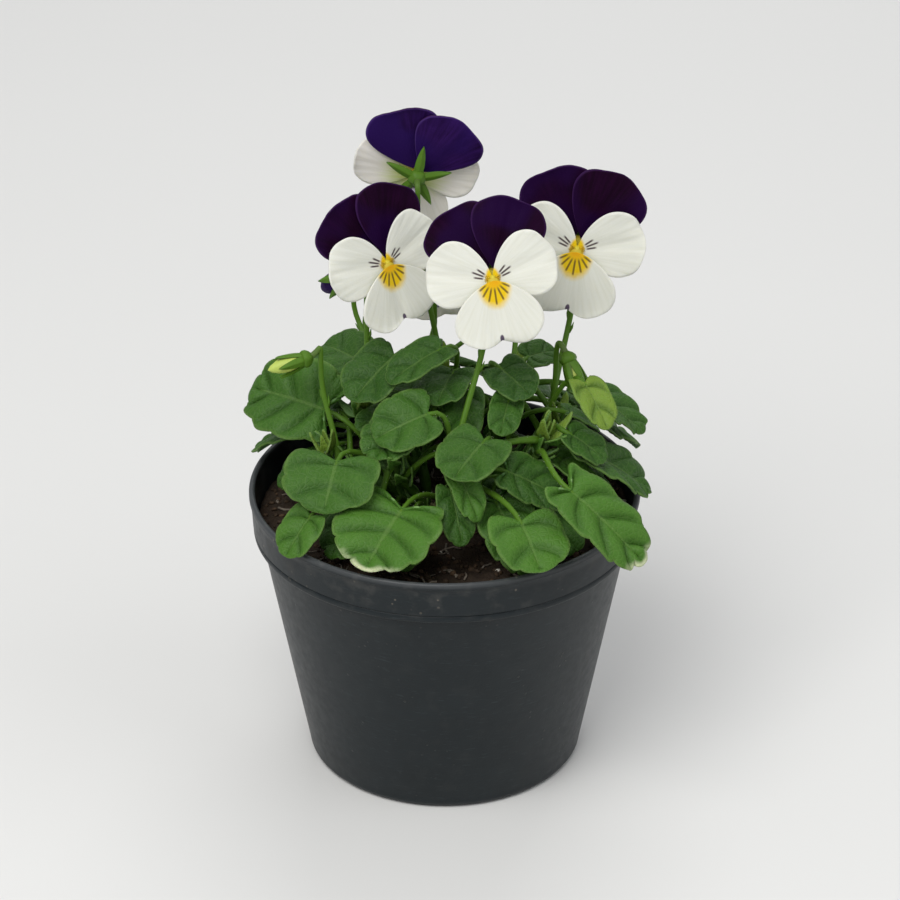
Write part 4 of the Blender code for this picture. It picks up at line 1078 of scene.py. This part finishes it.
def make_crown(material, dice):
    """The crown's knobbly dome with old leaf bases, on its tapering root."""
    gather = Gather()
    top = SOIL_TOP + CROWN_TOP
    axis = [UP * (top - drop * MM) for drop in CROWN_DROPS]
    gather.tube(axis, [radius * CROWN_RADIUS / MM for radius in CROWN_RADII], 28, 7, 0.05)
    for index in range(LEAF_BASES):
        way = outward(GOLDEN_DEGREES * index)
        foot = way * (0.35 + 0.6 * (index % 4) / 4) * CROWN_RADIUS + UP * (top - 1.2 * MM)
        height = dice.uniform(1.6, 2.2)
        stub = [foot + (UP * up + way * out) * MM for up, out in ((0, 0), (1.3, 0.3), (height, 0.7))]
        gather.tube(stub, (0.55, 0.45, 0.2), 8, tint=(dice.uniform(0, 1), 0, 0))
    gather.piece("root_crown", [material], ["crown"], "crown")


# Materials


def worked(operation):
    """A method that puts a value, and any other, through a Math node."""
    return lambda value, *others: value.paint.maths(operation, value, *others)


class Value:
    """A value that varies over a surface, so that a material is written as plain arithmetic."""

    def __init__(self, paint, socket):
        self.paint, self.socket = paint, socket

    __add__, __sub__, __mul__ = worked("ADD"), worked("SUBTRACT"), worked("MULTIPLY")
    __truediv__, __abs__, __round__ = worked("DIVIDE"), worked("ABSOLUTE"), worked("ROUND")

    def step(self, zero, one):
        """A smooth step that is 0 at and past the first value and 1 at and past the second."""
        made = self.paint.node("ShaderNodeMapRange", self, zero, one, 0.0, 1.0,
                               interpolation_type="SMOOTHSTEP")
        return Value(self.paint, made.outputs[0])


class Paint:
    """One procedural material, built with short calls."""

    def __init__(self, name, roughness, **constants):
        self.material = bpy.data.materials.new(name)
        self.material.use_nodes = True
        self.tree = self.material.node_tree
        self.shader = self.tree.nodes["Principled BSDF"]
        self.shader.inputs["Roughness"].default_value = roughness
        for label, value in constants.items():
            self.shader.inputs[label.replace("_", " ")].default_value = value

    def feed(self, value, socket):
        """Links a value to a socket, or sets the socket to a number or a colour."""
        if isinstance(value, Value):
            self.tree.links.new(value.socket, socket)
        elif value is not None:
            socket.default_value = value

    def node(self, kind, *values, **settings):
        """A node with its settings, whose first sockets take the values."""
        made = self.tree.nodes.new(kind)
        for label, value in settings.items():
            setattr(made, label, value)
        for index, value in enumerate(values):
            self.feed(value, made.inputs[index])
        return made

    def maths(self, operation, *values):
        """The result of a Math node."""
        return Value(self, self.node("ShaderNodeMath", *values, operation=operation).outputs[0])

    def larger(self, one, other):
        """The larger of two values."""
        return self.maths("MAXIMUM", one, other)

    def angle(self, x, y):
        """The angle of a point from the Y axis towards X."""
        return self.maths("ARCTAN2", x, y)

    def reach(self, x, y):
        """The distance of a point from the origin."""
        return self.maths("SQRT", x * x + y * y)

    def mix(self, share, one, other):
        """The first colour with a share of the second."""
        made = self.node("ShaderNodeMix", share, data_type="RGBA")
        for socket, value in zip(made.inputs[6:8], (one, other)):
            self.feed((*value, 1) if isinstance(value, tuple) else value, socket)
        return Value(self, made.outputs[2])

    def parts(self, vector):
        """The three parts of a vector."""
        return [Value(self, part) for part in self.node("ShaderNodeSeparateXYZ", vector).outputs]

    def values(self, label):
        """The three parts of a point attribute."""
        source = self.node("ShaderNodeAttribute", attribute_name=label)
        return self.parts(Value(self, source.outputs["Vector"]))

    def place(self):
        """The point's own place on the object, in metres."""
        return Value(self, self.node("ShaderNodeTexCoord").outputs["Object"])

    def noise(self, size, detail=3.0, where=None):
        """Noise whose features are about this size, in metres."""
        made = self.node("ShaderNodeTexNoise", where or self.place())
        made.inputs["Scale"].default_value = 1 / size
        made.inputs["Detail"].default_value = detail
        return Value(self, made.outputs[0])

    def cells(self, size, feature="DISTANCE_TO_EDGE"):
        """Cells of about this size, as the distance to their edges, or to their middles with F1."""
        made = self.node("ShaderNodeTexVoronoi", self.place(), feature=feature)
        made.inputs["Scale"].default_value = 1 / size
        return Value(self, made.outputs["Distance"])

    def petal_rays(self, fineness, stretch):
        """Fine rays that spread from a petal's claw."""
        x, y, _ = self.values("local")
        where = self.node("ShaderNodeCombineXYZ", self.angle(x, y + 3.0) * fineness, y * stretch, 0.0)
        return self.noise(1.0, 2, Value(self, where.outputs[0]))

    def finish(self, colour, height=None, depth=0, roughness=None):
        """Sets the base colour, a bump with its full height as a depth in metres, and the roughness."""
        self.feed(colour, self.shader.inputs["Base Color"])
        self.feed(roughness, self.shader.inputs["Roughness"])
        if height:
            bump = self.node("ShaderNodeBump")
            self.feed(depth, bump.inputs["Distance"])
            self.feed(height, bump.inputs["Height"])
            self.tree.links.new(bump.outputs[0], self.shader.inputs["Normal"])
        return self.material


LEAF_GLOW = {"Subsurface_Weight": 0.12, "Subsurface_Scale": 0.6 * MM, "Subsurface_Radius": (0.5, 1.0, 0.25)}
STALK_GLOW = {"Subsurface_Weight": 0.15, "Subsurface_Scale": 0.8 * MM, "Subsurface_Radius": (0.5, 1.0, 0.25)}
PETAL_GLOW = {"Subsurface_Weight": 0.2, "Subsurface_Scale": 0.8 * MM, "Subsurface_Radius": (1.0, 0.9, 0.7)}
YOUNG_GREEN, BLEACHED = (0.15, 0.24, 0.03), (0.62, 0.66, 0.42)
EYE_YELLOW, EYE_ORANGE = (0.76, 0.52, 0.006), (0.78, 0.36, 0.006)
RAY_BROWN, NOTCH_VIOLET = (0.035, 0.012, 0.02), (0.035, 0.008, 0.06)
# The lip's rays and the side petals' whiskers: their spacing in radians, the longest and the loss per step
RAY_SPACING, RAY_LENGTH, RAY_LOSS = 0.33, 6.2, 0.6
WHISKER_SPACING, WHISKER_LENGTH, WHISKER_LOSS = 0.24, 5.4, 0.7
NOTCH_MARK = 13.4


def leaf_paint(name, dark, middle, bright, vein, is_under):
    """A blade's surface: greens by its shade, painted shade in its vein hollows, a painted light rim, a fine
    net and a bleached tip.
    """
    paint = Paint(name, 0.62 if is_under else 0.5, Specular_IOR_Level=0.18, **LEAF_GLOW)
    vein_at, out, along = paint.values("local")
    shade, warm, pale = paint.values("tint")
    level = shade + paint.noise(6 * MM) * 0.5 - 0.25
    green = paint.mix(level.step(0.0, 0.55), dark, middle)
    green = paint.mix(level.step(0.5, 1.1), green, bright)
    green = paint.mix(shade.step(0.95, 1.1), green, YOUNG_GREEN)
    green = paint.mix(warm.step(0.2, 1.2) * 0.35, green, bright)
    off = abs(vein_at - round(vein_at))
    line = (off / (out * -0.035 + 0.055)).step(1.5, 0.4) * vein_at.step(0.5, 0.6) * out.step(0.97, 0.6)
    rib = out.step(0.07, 0.02)
    veins = paint.larger(line * 0.75, rib)
    if is_under:
        green = paint.mix(veins * 0.9, green, vein)
    else:
        # Painted shade: the upper face is darkened in the hollows along the veins, where shade falls
        hollow = off.step(0.3, 0.03) * vein_at.step(0.4, 0.6) * out.step(1.0, 0.75)
        green = paint.mix(hollow * 0.5, green, dark)
        green = paint.mix(rib * 0.3, green, vein)
    net = paint.cells(1.2 * MM)
    green = paint.mix(net.step(0.09, 0.0) * 0.16, green, vein)
    # Painted light: the rim is made paler, as where light catches the blade's edge
    green = paint.mix(out.step(0.9, 1.0) * 0.5, green, vein)
    at_tip = along.step(paint.noise(3 * MM, 2) * 0.3 + 0.72, 1.02) * out.step(0.6, 0.9)
    green = paint.mix(at_tip * pale, green, BLEACHED)
    relief = net.step(0.0, 0.22) * 0.5 + paint.noise(0.5 * MM) * 0.25 + veins * (0.9 if is_under else -0.9)
    return paint.finish(green, relief, 0.14 * MM, paint.noise(1.2 * MM) * 0.2 + (0.52 if is_under else 0.4))


def stalk_paint():
    """Stems, petioles and flower stalks: pale green, violet-tinged on the hooks, faintly streaked."""
    paint = Paint("stem_green", 0.5, Specular_IOR_Level=0.2, **STALK_GLOW)
    along, _, _ = paint.values("local")
    light, violet, _ = paint.values("tint")
    green = paint.mix(light.step(0.2, 1.1), (0.018, 0.06, 0.004), (0.075, 0.17, 0.012))
    tinge = along.step(0.62, 0.95) * violet * (paint.noise(3 * MM, 2) * 0.8 + 0.1)
    green = paint.mix(tinge, green, (0.12, 0.05, 0.1))
    green = paint.mix(paint.noise(1.4 * MM) * 0.25, green, (0.08, 0.17, 0.014))
    return paint.finish(green, paint.noise(0.5 * MM), 0.06 * MM)


def violet_paint(name, deep, light, edge, blush):
    """A velvety dark petal: darker fine rays from its claw, soft blushes and a thin lighter edge."""
    paint = Paint(name, 0.6, Specular_IOR_Level=0.04)
    _, _, out = paint.values("tint")
    rays = paint.petal_rays(26.0, 0.12)
    violet = paint.mix((paint.noise(5 * MM, 2) * 0.5 + rays * 0.6).step(0.3, 0.85), deep, light)
    violet = paint.mix(paint.noise(11 * MM, 1).step(0.4, 0.62), violet, blush)
    violet = paint.mix(out.step(0.93, 1.0) * 0.7, violet, edge)
    return paint.finish(violet, rays * 0.6 + paint.noise(0.35 * MM, 2), 0.08 * MM)


def yellow_eye(paint, white, is_lip, is_side):
    """A soft yellow drop on the lip with an orange middle, and a narrow yellow foot on each side petal."""
    x, y, _ = paint.values("tint")
    drop_x, drop_y = x / 3.7, (y + 1.2) / 5.2
    drop = drop_x * drop_x + drop_y * drop_y + paint.noise(1.2 * MM, 2) * 0.3
    foot = paint.reach(x * 1.9, y)
    yellow = paint.larger(drop.step(1.5, 0.6) * is_lip, foot.step(3.6, 2.4) * is_side)
    near = paint.reach(x, y - 0.4) + paint.noise(1.6 * MM, 2) * 1.4 - 0.7
    colour = paint.mix(yellow, white, EYE_YELLOW)
    return paint.mix(near.step(3.0, 0.8) * is_lip * 0.8, colour, EYE_ORANGE)


def strokes(at, reach, spacing, longest, loss, width, start, fade, count):
    """Dark strokes that spread from a point: a middle one and some to each side, each shorter than the last.

    At tells which stroke a place is at. The width and the start are pairs, from no stroke to the full one.
    """
    number = abs(round(at))
    beside = abs(at - round(at)) * spacing * reach
    short_of_end = number * -loss + longest - reach
    drawn = beside.step(*width) * short_of_end.step(0.0, fade) * reach.step(*start)
    return drawn * number.step(count + 0.5, count + 0.4)


def lip_rays(paint):
    """Seven dark rays that run down the lip from the eye, the middle one the longest."""
    x, y, _ = paint.values("tint")
    reach = paint.reach(x, y - 0.4)
    at = paint.angle(x, (y - 0.4) * -1.0) / RAY_SPACING
    return strokes(at, reach, RAY_SPACING, RAY_LENGTH, RAY_LOSS, (0.34, 0.1), (1.6, 2.8), 0.6, 3)


def side_whiskers(paint):
    """Three fine dark strokes over the eye on each side petal."""
    x, y, _ = paint.values("local")
    face_x, _, _ = paint.values("tint")
    upward = face_x.step(-0.1, 0.1) * 2.0 - 1.0
    at = (paint.angle(x, y) * upward + WHISKER_SPACING) / WHISKER_SPACING
    reach = paint.reach(x, y)
    return strokes(at, reach, WHISKER_SPACING, WHISKER_LENGTH, WHISKER_LOSS, (0.3, 0.12), (1.9, 2.6), 0.8, 1)


def face_markings(paint, white):
    """The eye of the white petals with its rays and whiskers, and a violet mark at the lip's notch."""
    x, y, kind = paint.values("local")
    is_side, is_lip = kind.step(0.4, 0.6), kind.step(0.6, 0.4)
    colour = yellow_eye(paint, white, is_lip, is_side)
    lines = paint.larger(lip_rays(paint) * is_lip * 0.85, side_whiskers(paint) * is_side)
    colour = paint.mix(lines * 0.92, colour, RAY_BROWN)
    mark = paint.reach(x * math.sqrt(3), y - NOTCH_MARK).step(1.05, 0.7) * is_lip
    return paint.mix(mark * 0.9, colour, NOTCH_VIOLET)


def white_paint(name, plain, streak, is_back):
    """A cream-white petal with faint rays, its eye on the front, and a green base on the back."""
    paint = Paint(name, 0.55, Specular_IOR_Level=0.14, Sheen_Weight=0.06, Sheen_Roughness=0.5, **PETAL_GLOW)
    x, y, out = paint.values("tint")
    rays = paint.petal_rays(22.0, 0.1)
    white = paint.mix(rays.step(0.35, 0.75), plain, streak)
    white = paint.mix(out.step(0.9, 1.0) * 0.4, white, (0.8, 0.79, 0.73))
    if is_back:
        near = paint.reach(x, y) + rays * 6.0 - 3.0
        white = paint.mix(near.step(10.0, 2.0), white, (0.5, 0.58, 0.18))
    else:
        white = face_markings(paint, white)
    return paint.finish(white, rays * 0.8 + paint.noise(0.4 * MM, 2) * 0.4, 0.04 * MM)


def plain_paint(name, one, other, roughness, size):
    """A small part's material: two near tones and a fine bump."""
    paint = Paint(name, roughness, Specular_IOR_Level=0.3)
    return paint.finish(paint.mix(paint.noise(size), one, other), paint.noise(size / 2, 2), 0.04 * MM)


def pot_paint():
    """Thin black plastic: a soft sheen with scuffs, fine mould texture, dust and compost specks, and a
    painted highlight along the lip.
    """
    paint = Paint("pot_black_plastic", 0.42, Specular_IOR_Level=0.3)
    _, _, height = paint.parts(paint.place())
    high = height.step(54 * MM, 67 * MM)
    flattened = paint.node("ShaderNodeMapping", paint.place(), None, None, (1.0, 1.0, 7.0))
    scuff = paint.noise(3 * MM, 4, Value(paint, flattened.outputs[0])).step(0.58, 0.75)
    dust = paint.noise(4 * MM, 5).step(0.5, 0.72) * (high * 0.24 + 0.04)
    speck = paint.cells(1.9 * MM, "F1").step(0.2, 0.12) * paint.noise(5 * MM, 2).step(0.52, 0.66)
    # Painted highlight: a lighter band along the top of the lip, as where light catches the rim
    lip = height.step(66.6 * MM, 67.6 * MM)
    black = paint.mix(paint.noise(9 * MM, 4), (0.005, 0.0085, 0.0105), (0.009, 0.0145, 0.0175))
    black = paint.mix(scuff * 0.35, black, (0.03, 0.042, 0.047))
    black = paint.mix(dust, black, (0.12, 0.115, 0.105))
    black = paint.mix(speck * (high * 0.45 + 0.07), black, (0.22, 0.19, 0.15))
    black = paint.mix(lip * 0.35, black, (0.12, 0.125, 0.13))
    roughness = dust * 0.5 + paint.noise(2 * MM, 4) * 0.22 + 0.32
    return paint.finish(black, paint.noise(0.45 * MM) * 0.4 + speck * 0.8, 0.05 * MM, roughness)


def compost_paint():
    """Dark damp compost: brown and near-black crumbs, tan fibres and a few pale grains."""
    paint = Paint("compost_crumbs", 0.85, Specular_IOR_Level=0.25)
    light, warm, pale = paint.values("tint")
    brown = paint.mix(paint.noise(2.2 * MM, 5), (0.008, 0.0055, 0.004), (0.05, 0.032, 0.02))
    brown = paint.mix(light * 0.45, brown, (0.075, 0.048, 0.028))
    brown = paint.mix(warm * light * 0.35, brown, (0.14, 0.075, 0.035))
    brown = paint.mix(pale.step(0.1, 1.0), brown, (0.6, 0.57, 0.5))
    return paint.finish(brown, paint.noise(0.6 * MM, 4), 0.25 * MM, paint.noise(1.5 * MM) * 0.4 + 0.55)


def hair_paint():
    """Fine pale hairs."""
    paint = Paint("fine_hairs", 0.5, Specular_IOR_Level=0.3)
    return paint.finish(paint.mix(paint.noise(0.6 * MM, 1), (0.5, 0.62, 0.4), (0.75, 0.8, 0.65)))


def make_materials():
    """Every material of the part, by a plain name."""
    return {
        "leaf": leaf_paint("leaf_upper_face", (0.022, 0.07, 0.008), (0.042, 0.118, 0.013),
                           (0.064, 0.168, 0.018), (0.14, 0.24, 0.06), False),
        "leaf_under": leaf_paint("leaf_under_face", (0.06, 0.14, 0.05), (0.1, 0.21, 0.07), (0.17, 0.31, 0.09),
                                 (0.24, 0.38, 0.15), True),
        "stalk": stalk_paint(),
        "hair": hair_paint(),
        "violet": violet_paint("violet_petal_face", (0.007, 0.0008, 0.007), (0.015, 0.0014, 0.017),
                               (0.045, 0.015, 0.075), (0.012, 0.0015, 0.027)),
        "violet_back": violet_paint("violet_petal_back", (0.013, 0.003, 0.035), (0.03, 0.008, 0.09),
                                    (0.07, 0.035, 0.17), (0.02, 0.006, 0.075)),
        "white": white_paint("white_petal_face", (0.71, 0.715, 0.65), (0.67, 0.675, 0.595), False),
        # Painted light: the backs' whites are lighter than the faces', standing in for light on backs that
        # face away from the lamps
        "white_back": white_paint("white_petal_back", (0.82, 0.79, 0.75), (0.76, 0.73, 0.67), True),
        "bud": plain_paint("bud_yellow_green", (0.36, 0.48, 0.07), (0.55, 0.64, 0.16), 0.5, 3 * MM),
        "spur": plain_paint("spur_violet", (0.3, 0.24, 0.45), (0.5, 0.46, 0.5), 0.5, 2 * MM),
        "throat": plain_paint("throat_yellow", (0.62, 0.42, 0.01), (0.52, 0.46, 0.05), 0.55, 1.5 * MM),
        "stigma": plain_paint("stigma_yellow", (0.52, 0.46, 0.03), (0.66, 0.52, 0.04), 0.4, 0.8 * MM),
        "beard": plain_paint("petal_beard", (0.7, 0.44, 0.01), (0.78, 0.58, 0.08), 0.6, 0.8 * MM),
        "pot": pot_paint(),
        "compost": compost_paint(),
        "crown": plain_paint("crown_bark", (0.12, 0.1, 0.045), (0.2, 0.2, 0.08), 0.75, 1.2 * MM),
    }


# Studio


def make_camera():
    """The camera at the photograph's angle, with the object filling most of the frame."""
    lens = bpy.data.cameras.new("camera")
    camera = new_item("camera", lens)
    bpy.context.scene.camera = camera
    back = look_from(VIEW_AZIMUTH, VIEW_ELEVATION)
    camera.location = (cad_low + cad_high) / 2 + back * VIEW_DISTANCE
    camera.rotation_euler = (-back).to_track_quat("-Z", "Y").to_euler()
    span, lift = cad_high - cad_low, math.radians(VIEW_ELEVATION)
    lens.sensor_width = SENSOR
    lens.lens = SENSOR * FILL_SHARE * VIEW_DISTANCE / (span.z * math.cos(lift) + span.y * math.sin(lift))
    lens.clip_start, lens.clip_end = 0.05, 20


def area_light(name, azimuth, elevation, distance, size, power, colour):
    """A soft square light that faces the plant."""
    lamp = bpy.data.lights.new(name, "AREA")
    lamp.energy, lamp.size, lamp.color = power, size, colour
    item = new_item(name, lamp)
    way = look_from(azimuth, elevation)
    item.location = way * distance + UP * 0.08
    item.rotation_euler = (-way).to_track_quat("-Z", "Y").to_euler()


def make_studio():
    """A plain pale floor and soft light."""
    bpy.ops.mesh.primitive_plane_add(size=8, location=(0, 0, 0))
    floor = bpy.context.object
    floor.name = "floor"
    paint = Paint("pale_floor", 0.75, Specular_IOR_Level=0.2)
    pale = paint.mix(paint.noise(0.4, 2), (0.66, 0.66, 0.65), (0.7, 0.7, 0.69))
    floor.data.materials.append(paint.finish(pale))
    area_light("key", -40, 55, 1.2, 0.8, 12, (1.0, 0.99, 0.97))
    area_light("fill", 60, 35, 1.3, 1.0, 3.5, (0.98, 0.99, 1.0))
    area_light("back", 160, 50, 1.2, 0.8, 4.5, (1.0, 1.0, 1.0))
    world = bpy.data.worlds.new("studio")
    bpy.context.scene.world = world
    world.use_nodes = True
    sky = world.node_tree.nodes["Background"]
    sky.inputs["Color"].default_value = (0.92, 0.93, 0.95, 1)
    sky.inputs["Strength"].default_value = 0.42
    bpy.context.scene.view_settings.view_transform = "Standard"


def main():
    """Builds every piece."""
    materials = make_materials()
    make_pot(materials["pot"])
    make_compost(materials["compost"], random.Random(3))
    make_crown(materials["crown"], random.Random(4))
    leaves = grown_leaves()
    canopy = canopy_of(leaves)
    for number in range(len(STEMS)):
        own = [leaf for leaf in leaves if leaf.stem == number]
        dice = random.Random(100 + number)
        make_leaves(number, own, canopy, [materials["leaf"], materials["leaf_under"]], dice)
        make_stalks(number, own, [materials["stalk"], materials["hair"], materials["bud"]], dice)
    for index, head in enumerate(BLOOMS):
        make_bloom(head, materials, random.Random(200 + index))
    for head in DARK_BUDS:
        make_dark_bud(head, materials["violet_back"])
    make_camera()
    make_studio()


main()
